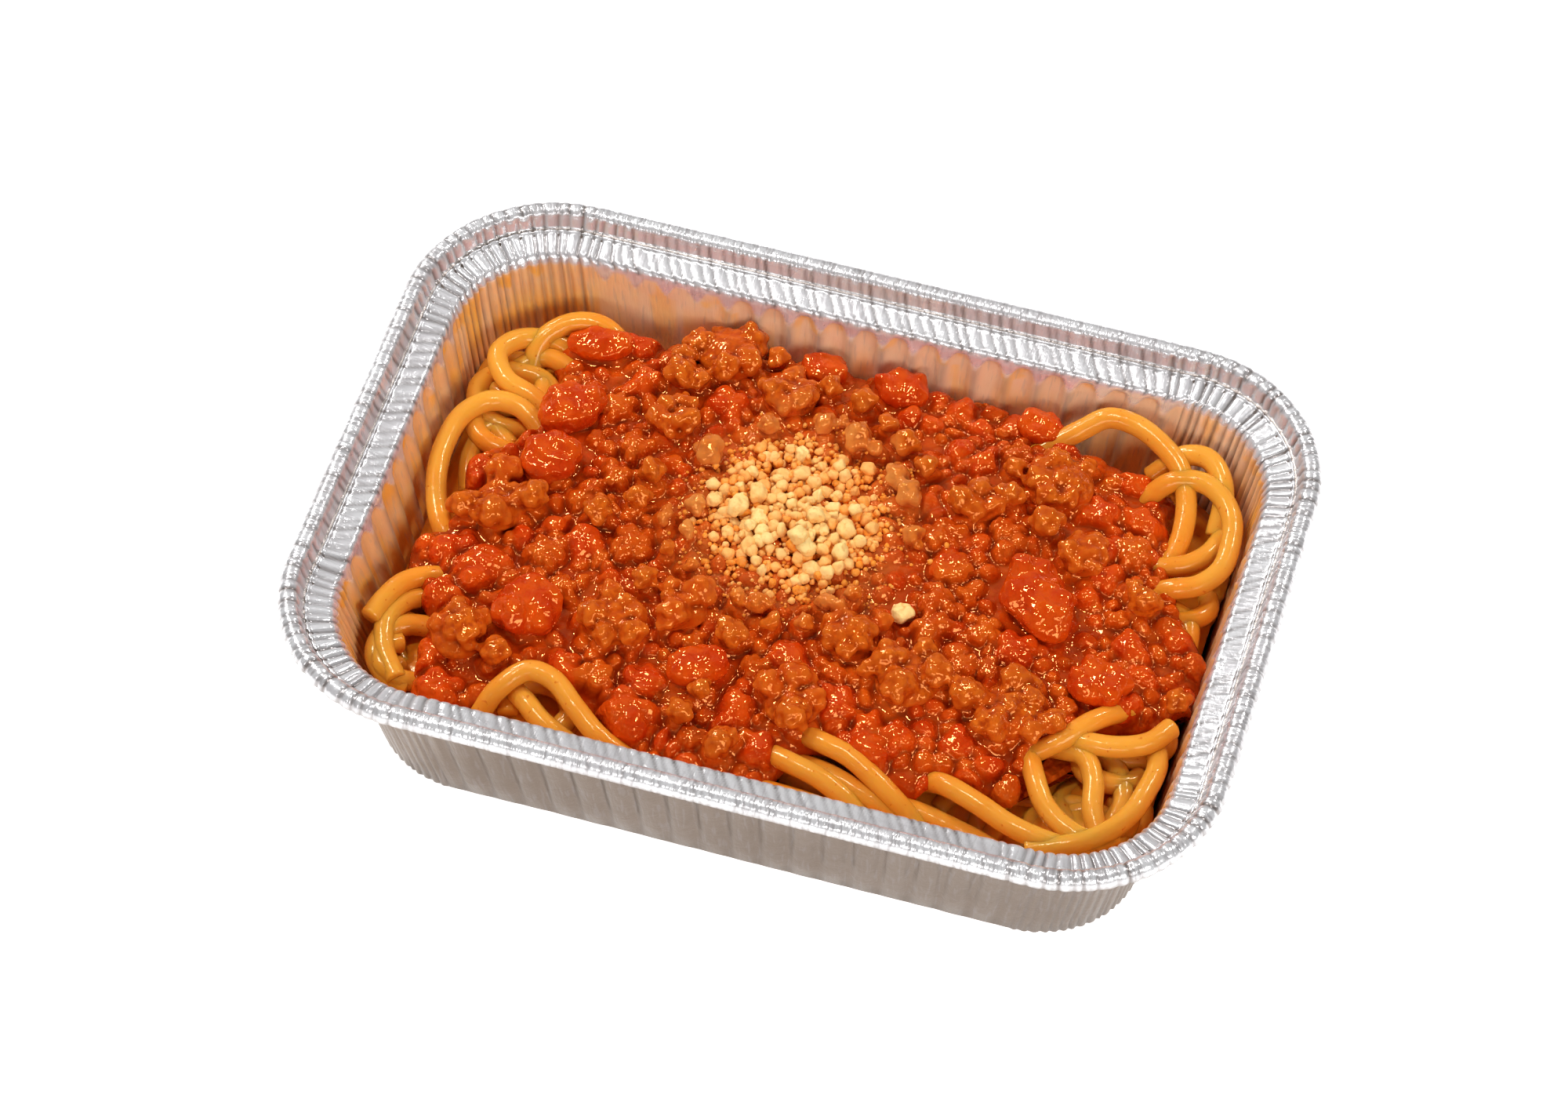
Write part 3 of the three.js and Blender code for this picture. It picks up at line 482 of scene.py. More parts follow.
class Nodes:
    """Short calls for the nodes of one tree. Sizes and depths are in millimetres."""

    def __init__(self, tree, coordinates):
        self.tree = tree
        self.place = self.add("TexCoord").outputs[coordinates]

    def put(self, value, socket):
        """Links a value to a socket, or sets it there if it is a plain one."""
        if isinstance(value, bpy.types.NodeSocket):
            self.tree.links.new(value, socket)
        else:
            socket.default_value = value

    def add(self, kind, inputs=(), **settings):
        node = self.tree.nodes.new("ShaderNode" + kind)
        for key, value in settings.items():
            setattr(node, key, value)
        for key, value in dict(inputs).items():
            self.put(value, node.inputs[key])
        return node

    def noise(self, size, detail=2, roughness=0.5, distortion=0):
        """Noise with features of about the given size."""
        return self.add("TexNoise", {
            "Vector": self.place, "Scale": 1 / (size * MM), "Detail": detail, "Roughness": roughness,
            "Distortion": distortion}).outputs["Fac"]

    def ramp(self, value, low, high, to_low=0.0, to_high=1.0):
        return self.add("MapRange", {
            "Value": value, "From Min": low, "From Max": high, "To Min": to_low, "To Max": to_high},
            interpolation_type="SMOOTHSTEP").outputs["Result"]

    def mix(self, factor, a, b):
        a, b = (c if isinstance(c, bpy.types.NodeSocket) else (*c, 1) for c in (a, b))
        return self.add("Mix", {0: factor, 6: a, 7: b}, data_type="RGBA").outputs[2]

    def maths(self, operation, *values):
        return self.add("Math", dict(enumerate(values)), operation=operation).outputs[0]

    def attribute(self, name, output="Fac"):
        return self.add("Attribute", attribute_name=name).outputs[output]


class Look(Nodes):
    """A material being made, with its shader's plain values set first."""

    def __init__(self, name, **values):
        self.material = bpy.data.materials.new(name)
        self.material.use_nodes = True
        super().__init__(self.material.node_tree, "Object")
        self.shader = self.tree.nodes["Principled BSDF"]
        for key, value in values.items():
            self.put(value, self.shader.inputs[key.replace("_", " ")])

    def finish(self, tone, *bumps):
        """Gives the shader its colour, and bumps of some heights and depths, one on the other."""
        self.put(tone, self.shader.inputs["Base Color"])
        below = {}
        for height, depth in bumps:
            node = self.add("Bump", {"Height": height, "Strength": 1, "Distance": depth * MM, **below})
            below = {"Normal": node.outputs["Normal"]}
            self.put(below["Normal"], self.shader.inputs["Normal"])
        return self.material


WET_SHINE = dict(Specular_IOR_Level=1.0, IOR=1.7, Specular_Tint=(1.0, 0.38, 0.12, 1))


def foil_material():
    look = Look("foil", Metallic=1.0)
    # fine streaks across the rim and down the walls
    streak = look.add("Mapping", {"Vector": look.attribute("trace", "Vector"), "Scale": (1, 7, 1)},
                      vector_type="TEXTURE")
    fine = look.add("TexNoise", {"Vector": streak.outputs[0], "Scale": 1.1, "Detail": 2}).outputs["Fac"]
    ribs, stain, outer = (look.attribute(name) for name in ("ribs", "stain", "outer"))
    scratch = look.maths("MULTIPLY", look.ramp(fine, 0.46, 0.34, 0, 0.5), ribs)
    cloud = look.noise(14, 2)
    tone = look.mix(look.ramp(cloud, 0.35, 0.65), (0.90, 0.89, 0.90), (0.76, 0.74, 0.75))
    # painted shade: the outside, the underside of the curl, the lower band of the bead and a little of the
    # drop get a darker, browner tone
    tone = look.mix(outer, tone, (0.235, 0.182, 0.145))
    grease = look.mix(look.noise(4), (1.0, 0.38, 0.035), (1.0, 0.56, 0.11))
    tone = look.mix(stain, tone, grease)
    tone = look.mix(scratch, tone, (0.35, 0.32, 0.32))
    # painted shade: darker in the creases and dents, on tilted pleats and on the cusps of the flutes
    tone = look.mix(look.attribute("crease_shade"), tone, (0.20, 0.165, 0.15))
    satin = look.maths("MULTIPLY", look.ramp(outer, 0, 1, 0.5, 1), look.ramp(stain, 0.1, 0.7, 1, 0.2))
    look.put(satin, look.shader.inputs["Metallic"])
    dull = look.maths("MAXIMUM", outer, stain)
    matt = look.maths("MULTIPLY_ADD", dull, 0.14, look.ramp(cloud, 0.3, 0.7, 0.22, 0.32))
    look.put(matt, look.shader.inputs["Roughness"])
    return look.finish(tone, (look.maths("MULTIPLY", fine, ribs), 0.36),
                       (look.noise(2.6, 3, 0.6, 0.6), 0.14))


def pasta_material():
    look = Look("pasta", Roughness=0.18, Subsurface_Weight=0.4, Subsurface_Scale=0.003,
                Subsurface_Radius=(1.0, 0.5, 0.15), Specular_IOR_Level=0.6, IOR=1.42,
                Specular_Tint=(1.0, 0.82, 0.55, 1))
    tone = look.mix(look.noise(9), (0.79, 0.32, 0.028), (0.87, 0.39, 0.050))
    tone = look.mix(look.attribute("tint"), tone, (0.80, 0.23, 0.014))
    speck = look.ramp(look.noise(1.1, 1), 0.70, 0.78, 0, 0.75)
    tone = look.mix(speck, tone, (0.66, 0.14, 0.01))
    return look.finish(tone, (look.noise(2.2, 2), 0.16))


def sauce_material():
    look = Look("sauce", Subsurface_Weight=0.1, Subsurface_Scale=0.0015,
                Subsurface_Radius=(1.0, 0.15, 0.04), **WET_SHINE)
    patch = look.ramp(look.noise(7, 2), 0.38, 0.62)
    over_mince = look.mix(patch, (0.54, 0.060, 0.002), (0.64, 0.098, 0.005))
    over_tomato = look.mix(patch, (0.58, 0.036, 0.002), (0.68, 0.068, 0.003))
    tone = look.mix(look.attribute("red"), over_mince, over_tomato)
    grain = look.ramp(look.noise(1.3, 3, 0.6), 0.52, 0.72, 0, 0.4)
    tone = look.mix(grain, tone, (0.66, 0.13, 0.015))
    hollow = look.attribute("hollow")
    # painted shade: the sauce darkens in the hollows between its lumps
    tone = look.mix(look.ramp(hollow, -0.3, 0.9, 0, 0.92), tone, (0.22, 0.012, 0.0005))
    tone = look.mix(look.maths("MULTIPLY", look.attribute("dust"), 0.5), tone, (0.60, 0.17, 0.03))
    # lumps are grainy, and the liquid between them is smooth
    look.put(look.ramp(hollow, -0.4, 0.5, 0.07, 0.04), look.shader.inputs["Roughness"])
    skin = look.maths("MULTIPLY", look.noise(1.7, 1), look.ramp(hollow, -0.4, 0.5, 1, 0.3))
    return look.finish(tone, (skin, 0.75))


def mince_material():
    look = Look("mince", Roughness=0.09, Subsurface_Weight=0.08, Subsurface_Scale=0.0015,
                Subsurface_Radius=(1.0, 0.35, 0.1), Specular_IOR_Level=0.9, IOR=1.6,
                Specular_Tint=(1.0, 0.40, 0.12, 1))
    tone = look.mix(look.ramp(look.noise(1.2, 2), 0.36, 0.66), (0.40, 0.042, 0.002), (0.66, 0.112, 0.005))
    tone = look.mix(look.ramp(look.noise(6, 1), 0.4, 0.65), tone, (0.52, 0.074, 0.004))
    tone = look.mix(look.attribute("wet"), tone, (0.56, 0.060, 0.003))
    knob = look.attribute("knob")
    # painted light on the tips of the knobs, and painted shade in the crevices between them
    tone = look.mix(look.ramp(knob, 0.5, 1.0, 0, 0.4), tone, (0.80, 0.19, 0.015))
    tone = look.mix(look.ramp(knob, 0.5, 0.0, 0, 0.9), tone, (0.19, 0.013, 0.0005))
    tone = look.mix(look.maths("MULTIPLY", look.attribute("dust"), 0.6), tone, (0.84, 0.36, 0.08))
    return look.finish(tone, (look.noise(1.8, 1), 0.5))


def tomato_material():
    look = Look("tomato", Roughness=0.06, Subsurface_Weight=0.12, Subsurface_Scale=0.002,
                Subsurface_Radius=(1.0, 0.12, 0.04), **WET_SHINE)
    tone = look.mix(look.ramp(look.noise(5, 2), 0.35, 0.65), (0.56, 0.034, 0.002), (0.68, 0.072, 0.003))
    tone = look.mix(look.attribute("wet"), tone, (0.50, 0.045, 0.003))
    return look.finish(tone, (look.noise(2.2, 1), 0.8))


def cheese_material():
    look = Look("cheese", Roughness=0.35, Subsurface_Weight=0.12, Subsurface_Scale=0.0006,
                Subsurface_Radius=(1.0, 0.7, 0.4), Specular_IOR_Level=0.2, IOR=1.42)
    tone = look.mix(look.attribute("pale"), (0.92, 0.31, 0.034), (1.0, 0.71, 0.27))
    tone = look.mix(look.ramp(look.noise(0.9, 2), 0.5, 0.8), tone, (0.94, 0.46, 0.12))
    return look.finish(tone, (look.noise(0.6, 3, 0.6), 0.15))


def floor_material():
    look = Look("floor", Roughness=0.85, Emission_Color=(1, 1, 1, 1), Emission_Strength=0.80)
    return look.finish(look.mix(look.noise(60), (0.93, 0.93, 0.93), (0.95, 0.95, 0.95)))


# ---------------------------------------------------------------- foil tray

CORNER_STEPS = 140
LONG_STEPS = 300
SHORT_STEPS = 170
CORNER_PLEATS = 17
LEDGE_PITCH = 2.3     # from crimp to crimp along the straight sides of the ledge
BEAD_PITCH = 3.4      # from crease to crease along the bead
CREASE_WIDTH = 0.42
TICK_WIDTH = 0.32     # of the fine dents along the bead
TICK_PITCH = (0.8, 1.7)
CRIMP_SLANT = 0.55    # how far the crimps of the straight sides lean, per millimetre of inset
TRACE_INSET = 5       # lengths along the rim are measured at this inset
GATHER_REACH = 13     # the pleats of a corner run out over this length of the straight sides
SCALLOP_TOP = 37.7
SMOOTH_PANEL = (0.74, 0.80)    # the far wall is smooth beyond this share of its length
# relief of the crimps on the straight sides, and added to it in the corners: of the pleats' rise,
# their creases and their tilt
CRIMPS = {"lip": [(0.14, 0.24), (0.10, 0.30), (0, 0)],
          "ledge": [(0.12, 0.22), (0.10, 0.26), (0.09, 0.19)],
          "ridge": [(0, 0.12), (0, 0.16), (0, 0)],
          "drop": [(0.08, 0.14), (0.05, 0.25), (0, 0)]}
WRINKLES = {"ledge": 0.07, "ridge": 0.02}
# relief, size and seed of the unevenness of the zones that are smooth otherwise, and its stretch
UNEVEN = {"inner": (0.08, 2.5, 9, 2.2), "outer": (0.06, 3.0, 11, 3.0), "drop": (0.07, 2.2, 17, 1.5)}
# per zone, how much of the darker outer tone it gets, which is painted shade, and how much duller its finish
# is
DULL_AND_SHADE = {"outer": 1.0, "base": 1.0, "under": 1.0, "drop": 0.1}


def tray_plan():
    """Per point of a ring: signs of its quarter, place along a side (0 in a corner), its outward
    angle, and whether it is in a corner."""
    rows = []
    for quarter, (sign_x, sign_y) in enumerate([(1, 1), (-1, 1), (-1, -1), (1, -1)]):
        for i in range(CORNER_STEPS):
            rows.append((sign_x, sign_y, 1, 1, (quarter + i / CORNER_STEPS) * math.pi / 2, 1, 0))
        steps = LONG_STEPS if quarter % 2 == 0 else SHORT_STEPS
        angle = (quarter + 1) * math.pi / 2
        for i in range(steps):
            t = 1 - 2 * i / steps
            along_x, along_y = (t, 1) if quarter % 2 == 0 else (1, t)
            rows.append((sign_x, sign_y, along_x, along_y, angle, 0, i / steps))
    return np.array(rows).T


def tray_ring(plan, inset, z, corner):
    sign_x, sign_y, along_x, along_y, angle, _, _ = plan
    x = sign_x * along_x * (TRAY["length"] / 2 - inset - corner) + corner * np.cos(angle)
    y = sign_y * along_y * (TRAY["width"] / 2 - inset - corner) + corner * np.sin(angle)
    return np.stack([x, y, np.full_like(x, z)], axis=1)


def corner_radius(inset, zone):
    inner = TRAY["inner_corner_radius"]
    if zone in ("base", "floor"):
        return inner - max(inset - TRAY["foot_inset"], 0)
    return max(TRAY["corner_radius"] - inset, inner - (inset - TRAY["ledge_inset"]) * 0.15)


def arc(centre, radius, first, last, count):
    """Profile points on an arc, by angles in degrees from outwards to up."""
    angles = np.radians(np.linspace(first, last, count))
    return [(centre[0] - radius * math.cos(a), centre[1] + radius * math.sin(a)) for a in angles]


def line(a, b, count):
    """Profile points from a to b, without b."""
    return [tuple(np.add(a, np.multiply(np.subtract(b, a), i / count))) for i in range(count)]


def tray_profile():
    """Rows of (inset, z, zone) from the middle of the underside up, over the rim and down inside."""
    foil, bead, foot = TRAY["foil"], TRAY["bead_radius"], TRAY["foot_round"]
    foot_inset, ridge_inset, ridge_z = TRAY["foot_inset"], TRAY["ridge_inset"], TRAY["ridge_z"]
    foot_bend = (foot_inset + 0.32 * foot, 0.3 * foot)
    wall_high = (float(wall_inset(37.2)), 36.8)
    ledge_edge = (TRAY["ledge_inset"] - 0.6, TRAY["ledge_z"])
    wall_top, wall_arch, wall_foot = ((float(wall_inset(z)) + foil, z) for z in (37.4, 33.4, foot + foil))
    zones = [
        ("base", [(foot_inset + foot + 6, 0), (foot_inset + foot, 0), foot_bend]),
        ("outer", line((float(wall_inset(foot)), foot), wall_high, 6)),
        ("under", arc((wall_high[0] - 1.6, wall_high[1] + 0.1), 1.5, 180, 110, 3)
         + line((7.7, 38.35), (ridge_inset + foil, ridge_z - foil), 2)
         + [(ridge_inset + foil - 0.3, ridge_z + 0.1)]),
        ("bead", arc((bead, TRAY["height"] - bead), bead, -150, 136, 17)),
        ("drop", line((3.95, 42.7), (ridge_inset - 0.1, ridge_z + 0.25), 4)),
        ("ridge", [(4.8, 40.1), (4.98, 40.18), (5.2, 40.22), (5.42, 40.12), (5.62, 39.9)]),
        ("ledge", line((5.85, 39.8), ledge_edge, 6)),
        ("lip", [ledge_edge, (9.35, 38.95), (9.75, 38.75), (10.08, 38.4), (10.28, 37.95)]),
        ("inner", line(wall_top, wall_arch, 6) + line(wall_arch, wall_foot, 5)),
        ("floor", [wall_foot, (foot_bend[0] + foil, foot_bend[1] + foil), (foot_inset + foot + foil, foil)]),
    ]
    return [(inset, z, zone) for zone, points in zones for inset, z in points]


def side_length(quarter):
    """Length of the straight side that follows a quarter's corner."""
    whole = TRAY["length"] if quarter % 2 == 0 else TRAY["width"]
    return whole - 2 * TRAY["corner_radius"]


def crease_places(random, pitch):
    """Creases along the rim, in millimetres from the start of the first corner round to it again."""
    corner = (TRAY["corner_radius"] - TRACE_INSET) * math.pi / 2
    places, start = [], 0.0
    for quarter in range(4):
        side = side_length(quarter)
        for length, count in ((corner, CORNER_PLEATS), (side, round(side / pitch))):
            shares = (np.arange(count) + random.uniform(-0.25, 0.25, count)) / count
            places.extend(start + length * shares)
            start += length
    return np.array([0.0, *places[1:], start])


class Pleats:
    """Pleats between creases along the rim, each with its own tilt, and each crease with its depth."""

    def __init__(self, random, pitch):
        self.creases = crease_places(random, pitch)
        self.tilts = random.uniform(-1, 1, len(self.creases))
        self.depths = random.uniform(0.35, 1, len(self.creases))

    def at(self, run):
        """At places along the rim: the rise of the pleat from 0 to 1, its tilt, and the crease."""
        run = np.mod(run, self.creases[-1])
        piece = np.searchsorted(self.creases, run, side="right") - 1
        width = self.creases[piece + 1] - self.creases[piece]
        share = (run - self.creases[piece]) / width
        nearest = np.where(share < 0.5, piece, piece + 1) % (len(self.creases) - 1)
        away = np.minimum(share, 1 - share) * width
        crease = self.depths[nearest] * np.exp(-(away / CREASE_WIDTH) ** 2)
        return np.sin(math.pi * share) ** 0.7, self.tilts[piece] * (share - 0.5), crease


def rim_ticks(random, run):
    """Fine dents along the bead, close together and of uneven depth."""
    ticks = np.zeros(len(run))
    place = 0.0
    while place < run[-1]:
        depth = random.uniform(0.25, 1) ** 1.5
        ticks = np.maximum(ticks, depth * np.exp(-((run - place) / TICK_WIDTH) ** 2))
        place += random.uniform(*TICK_PITCH)
    return ticks


class Rim:
    """The points of one ring of the tray: where each lies along the rim, and its flutes and pleats."""

    def __init__(self, random):
        self.plan = tray_plan()
        self.angle, self.in_corner, share = self.plan[4:]
        self.count = len(share)
        reference = tray_ring(self.plan, TRACE_INSET, 0, TRAY["corner_radius"] - TRACE_INSET)
        self.run = np.concatenate([[0], np.cumsum(np.linalg.norm(np.diff(reference, axis=0), axis=1))])
        quarter = np.repeat(np.arange(4), [CORNER_STEPS + LONG_STEPS, CORNER_STEPS + SHORT_STEPS] * 2)
        long_side = quarter % 2 == 0
        side = np.where(long_side, side_length(0), side_length(1))
        from_corner = np.where(self.in_corner > 0, 0, np.minimum(share, 1 - share) * side)
        # 1 in the corners, where the foil is gathered
        self.pull = smoothstep(GATHER_REACH, 0, from_corner)
        self.bead_pull = np.maximum(self.pull, np.where(long_side, 0.1, 0.8))
        # scallops of the walls: wide hollows between narrow cusps, with one end of the far wall smooth
        flutes = np.where(long_side, LONG_SIDE_FLUTES, SHORT_SIDE_FLUTES)
        self.cusp = (0.5 - 0.5 * np.cos(2 * math.pi * share * flutes)) ** 1.9
        fade = np.where(self.in_corner > 0, 0, smoothstep(0, 0.03, share) * smoothstep(1, 0.97, share))
        smooth_side = (quarter == 0) & (self.in_corner == 0)
        self.flute_fade = fade * np.where(smooth_side, smoothstep(*SMOOTH_PANEL[::-1], share), 1)
        self.scallop_top = SCALLOP_TOP - 2.6 * self.cusp
        self.ledge_pleats = Pleats(random, LEDGE_PITCH)
        self.bead_pleats = Pleats(random, BEAD_PITCH)
        self.ticks = rim_ticks(random, self.run)
        self.wrinkle = rough(np.stack([self.run, np.zeros(self.count)], axis=1), 4.2, seed=3, octaves=3)

    def scallop(self, zone, z):
        """How deep the flutes of the walls are at a height, from 0 to 1."""
        if zone not in ("inner", "outer"):
            return np.zeros(self.count)
        top = smoothstep(self.scallop_top, self.scallop_top - 1.3, z) if zone == "inner" else 1
        return self.flute_fade * top * smoothstep(2.0, 7.0, z)

    def bead_relief(self):
        rise, tilt, crease = self.bead_pleats.at(self.run)
        proud = self.bead_pull * (0.09 * (rise - 1) - 0.24 * crease + 0.05 * tilt)
        proud += -0.12 * self.ticks * (1 - 0.6 * self.bead_pull) - 0.02 + 0.02 * self.wrinkle
        # the second value is painted shade in the bead's creases and fine dents
        return proud, np.maximum(self.bead_pull * crease, 0.5 * self.ticks)

    def relief(self, zone, inset, z, row):
        """How far the foil stands proud of its profile, and the painted shade in its creases."""
        if zone == "bead":
            return self.bead_relief()
        # the crimps of the straight sides lie aslant
        lean = CRIMP_SLANT * (inset - 7.5) * (1 - self.pull)
        rise, tilt, crease = self.ledge_pleats.at(self.run + lean)
        proud, crease_shade = np.zeros(self.count), crease
        if zone in CRIMPS:
            up, down, sway = (straight + gathered * self.pull for straight, gathered in CRIMPS[zone])
            proud = up * (rise - 0.6) - down * crease + sway * tilt + WRINKLES.get(zone, 0) * self.wrinkle
        if zone == "lip":
            proud *= 0.5 + 0.5 * smoothstep(38.0, 38.9, z)
        elif zone == "ledge":
            crease_shade = (0.65 + 0.35 * self.pull) * crease
        elif zone == "inner":
            below_lip = 0.5 + 0.5 * smoothstep(37.6, 36.4, z)
            proud = (-0.4 * crease + 0.8 * (rise - 0.5) + 0.5 * tilt) * self.in_corner * below_lip
            proud = np.maximum(proud, -0.28)
            # painted shade on the tilted pleats and creases of the corners, and on the cusps of the flutes
            shade = np.maximum(0.75 * crease, 0.5 * smoothstep(0.0, 0.5, np.abs(tilt)))
            crease_shade = np.maximum(shade * self.in_corner, 0.45 * self.cusp**3 * self.scallop(zone, z))
        elif zone == "outer":
            proud = np.maximum(-0.3 * crease + 0.3 * (rise - 0.5) + 0.2 * tilt, -0.15) * self.in_corner
            crease_shade = 0.5 * crease * self.in_corner
        if zone in UNEVEN:
            relief, size, seed, stretch = UNEVEN[zone]
            spread = np.stack([self.run, np.full(self.count, 3.0 * row)], axis=1)
            proud = proud + relief * rough(spread / stretch, size, seed, octaves=2)
        return proud, crease_shade


def build_tray():
    rim = Rim(np.random.default_rng(5))
    profile = tray_profile()
    flat = np.array([row[:2] for row in profile])
    slope = np.gradient(flat, axis=0)
    slope /= np.linalg.norm(slope, axis=1)[:, None]
    across = np.concatenate([[0], np.cumsum(np.linalg.norm(np.diff(flat, axis=0), axis=1))])
    rings, fields = [], {"stain": [], "outer": [], "ribs": [], "crease_shade": [], "trace": []}
    for row, (inset, z, zone) in enumerate(profile):
        ring = tray_ring(rim.plan, inset, z, corner_radius(inset, zone))
        proud, crease_shade = rim.relief(zone, inset, z, row)
        # the outward side of the skin lies to the left of the way up the profile
        away = proud * slope[row, 1] + FLUTE_DEPTH * (1.7 - 2.7 * rim.cusp) * rim.scallop(zone, z)
        ring += np.stack([away * np.cos(rim.angle), away * np.sin(rim.angle), proud * slope[row, 0]], axis=1)
        rings.append(ring)
        # the grease ends in an arch at the top of each scallop
        arch = smoothstep(rim.scallop_top, rim.scallop_top - 0.9, z) * (zone == "inner")
        fields["stain"].append(arch * stain_on_wall(ring))
        # painted shade on the lower band of the bead
        bead_underside_shade = 0.7 * smoothstep(42.3, 41.0, z) * (zone == "bead" and inset < TRAY["bead_radius"])
        fields["outer"].append(np.full(rim.count, DULL_AND_SHADE.get(zone, bead_underside_shade)))
        fields["ribs"].append(np.full(rim.count, 1.0 if zone == "bead" else 0.45))
        fields["crease_shade"].append(crease_shade)
        fields["trace"].append(np.stack([rim.run, np.full(rim.count, across[row]),
                                         np.zeros(rim.count)], axis=1))
    points, faces = loft(rings, [[0, 0, 0], [0, 0, TRAY["foil"]]])
    limit = np.array([TRAY["length"] / 2, TRAY["width"] / 2, TRAY["height"]])
    points = np.clip(points, limit * (-1, -1, 0), limit)
    attributes = {}
    for name, rows in fields.items():
        middles = np.zeros((2, *rows[0].shape[1:]))
        attributes[name] = np.concatenate([*rows, middles])
    attributes["outer"][-2] = 1    # the middle of the underside
    return new_mesh("foil_tray_formed", points, faces, attributes)


def stain_on_wall(points):
    """How much grease the inner wall carries, from 0 to 1."""
    height = points[:, 2]
    splash = rough(points, 5.0, seed=21, octaves=3)
    band = smoothstep(33.5, 29.0, height) * 0.55
    far = smoothstep(35, 50, points[:, 1]) * smoothstep(-62, -45, points[:, 0])
    stain = smoothstep(0.25, 0.55, splash + band - 0.05 * far)
    return (0.78 - 0.16 * far + 0.2 * stain) * smoothstep(37.8, 36.6, height)


# ---------------------------------------------------------------- the food's surface

GRID_STEP = 0.43
GRID_HALF_X, GRID_HALF_Y = 79, 53.4
SCATTER_HALF_X, SCATTER_HALF_Y = 76, 51
VALLEY = -1.8       # height of the sauce between its lumps, over the dome
KNOB_RADIUS = 1.7   # of the largest knobs on a lump of mince
MINCE_VOXEL = 0.46
TOMATO_VOXEL = 0.5
TOMATO_BULGES = 6
WALL_GAP = 0.25     # between the wall and the mince or tomato
RIM_WIDTH = 3.2     # the sauce rounds off over this width at its edge, and falls by the rim's drop
RIM_DROP = 3.0
SKIRT_IN, SKIRT_DOWN = 1.6, 1.8


class Surface:
    """The sauce over a grid in plan: its height, how far inside its edge each point is, and how red
    it is, from 0 over mince to 1 over tomato."""

    def __init__(self):
        self.xs, self.ys = (np.arange(-half, half + 0.01, GRID_STEP) for half in (GRID_HALF_X, GRID_HALF_Y))
        self.x, self.y = np.meshgrid(self.xs, self.ys, indexing="ij")
        self.flat = np.stack([self.x, self.y], axis=-1)
        outline = spline(SAUCE_EDGE, step=1.2, closed=True)
        edge = outline_distance(self.x, self.y, outline) + 0.8 * noise(self.flat, 5.5, seed=2)
        level = mound_z(self.x, self.y)
        wall, _, _ = wall_distance(self.x, self.y, level)
        self.edge = np.minimum(edge, wall - 0.1)
        self.z = level + VALLEY + 0.5 * noise(self.flat, 9, seed=4) + 0.35 * noise(self.flat, 3.5, seed=5)
        self.red = np.full(self.z.shape, 0.55) + 0.3 * noise(self.flat, 14, seed=6)
        # where a dome measures its distance from: shifted, so that no lump is quite round
        self.bent_x, self.bent_y = (
            axis + 1.1 * noise(self.flat, 6.5, seed) + 0.45 * noise(self.flat, 2.6, seed + 1)
            for axis, seed in ((self.x, 7), (self.y, 9)))

    def window(self, x, y, reach):
        i0, i1 = np.searchsorted(self.xs, (x - reach, x + reach))
        j0, j1 = np.searchsorted(self.ys, (y - reach, y + reach))
        return slice(i0, i1), slice(j0, j1)

    def add_dome(self, x, y, top, radius, blend=0.8, red=None, stretch=1.0, turn=0.0):
        """Raises a smooth dome. stretch makes it longer along its turn."""
        here = self.window(x, y, 1.7 * radius * stretch)
        along, across = turned(self.bent_x[here] - x, self.bent_y[here] - y, turn)
        square = ((along / stretch) ** 2 + across**2) / radius**2
        dome = top - radius * (0.5 * square + 0.28 * square**2)
        low = self.z[here]
        share = np.clip(0.5 + 0.5 * (dome - low) / blend, 0, 1)
        self.z[here] = low + share * (dome - low) + blend * share * (1 - share)
        if red is not None:
            self.red[here] += share * (red - self.red[here])

    def at(self, field, x, y):
        """The field's value at places in plan."""
        fx = np.clip((np.asarray(x) - self.xs[0]) / GRID_STEP, 0, len(self.xs) - 1.001)
        fy = np.clip((np.asarray(y) - self.ys[0]) / GRID_STEP, 0, len(self.ys) - 1.001)
        i, j = fx.astype(int), fy.astype(int)
        a, b = fx - i, fy - j
        return ((1 - a) * (1 - b) * field[i, j] + a * (1 - b) * field[i + 1, j]
                + (1 - a) * b * field[i, j + 1] + a * b * field[i + 1, j + 1])

    def wrinkle(self):
        """Folds of the skin over tomato, and grains over mince. Hollows stay smooth."""
        raised = smoothstep(0.5, -0.5, self.hollow())
        folds = np.abs(noise(self.flat, 3.2, seed=81)) + 0.5 * np.abs(noise(self.flat, 1.6, seed=82))
        grains = noise(self.flat, 2.1, seed=83) + 0.5 * noise(self.flat, 1.1, seed=84)
        self.z += raised * (self.red * 0.55 * (0.55 - folds) + (1.1 - self.red) * 0.3 * grains)

    def hollow(self):
        """How deep each point lies under its surroundings."""
        level = self.z.copy()
        for _ in range(24):
            level = 0.5 * level + 0.125 * sum(np.roll(level, step, axis)
                                              for step in (-1, 1) for axis in (0, 1))
        return level - self.z


def in_piece(x, y, piece):
    """Whether a place is over a piece of tomato."""
    centre_x, centre_y, length, width, turn = piece
    along, across = turned(x - centre_x, y - centre_y, math.radians(turn))
    return (2 * along / length) ** 2 + (2 * across / width) ** 2 < 1


def in_clump(x, y, clump):
    return math.hypot(x - clump[0], y - clump[1]) < clump[2] / 2 + 0.5


def scatter(random, surface, count, spacing, margin, taken):
    """Places in plan inside the sauce, a spacing apart and clear of the circles in taken."""
    placed = []
    for _ in range(60 * count):
        x = random.uniform(-SCATTER_HALF_X, SCATTER_HALF_X)
        y = random.uniform(-SCATTER_HALF_Y, SCATTER_HALF_Y)
        if surface.at(surface.edge, x, y) < margin:
            continue
        if any(math.hypot(x - a, y - b) < spacing for a, b in placed):
            continue
        if any(math.hypot(x - a, y - b) < r for a, b, r in taken):
            continue
        placed.append((x, y))
        if len(placed) == count:
            break
    return placed


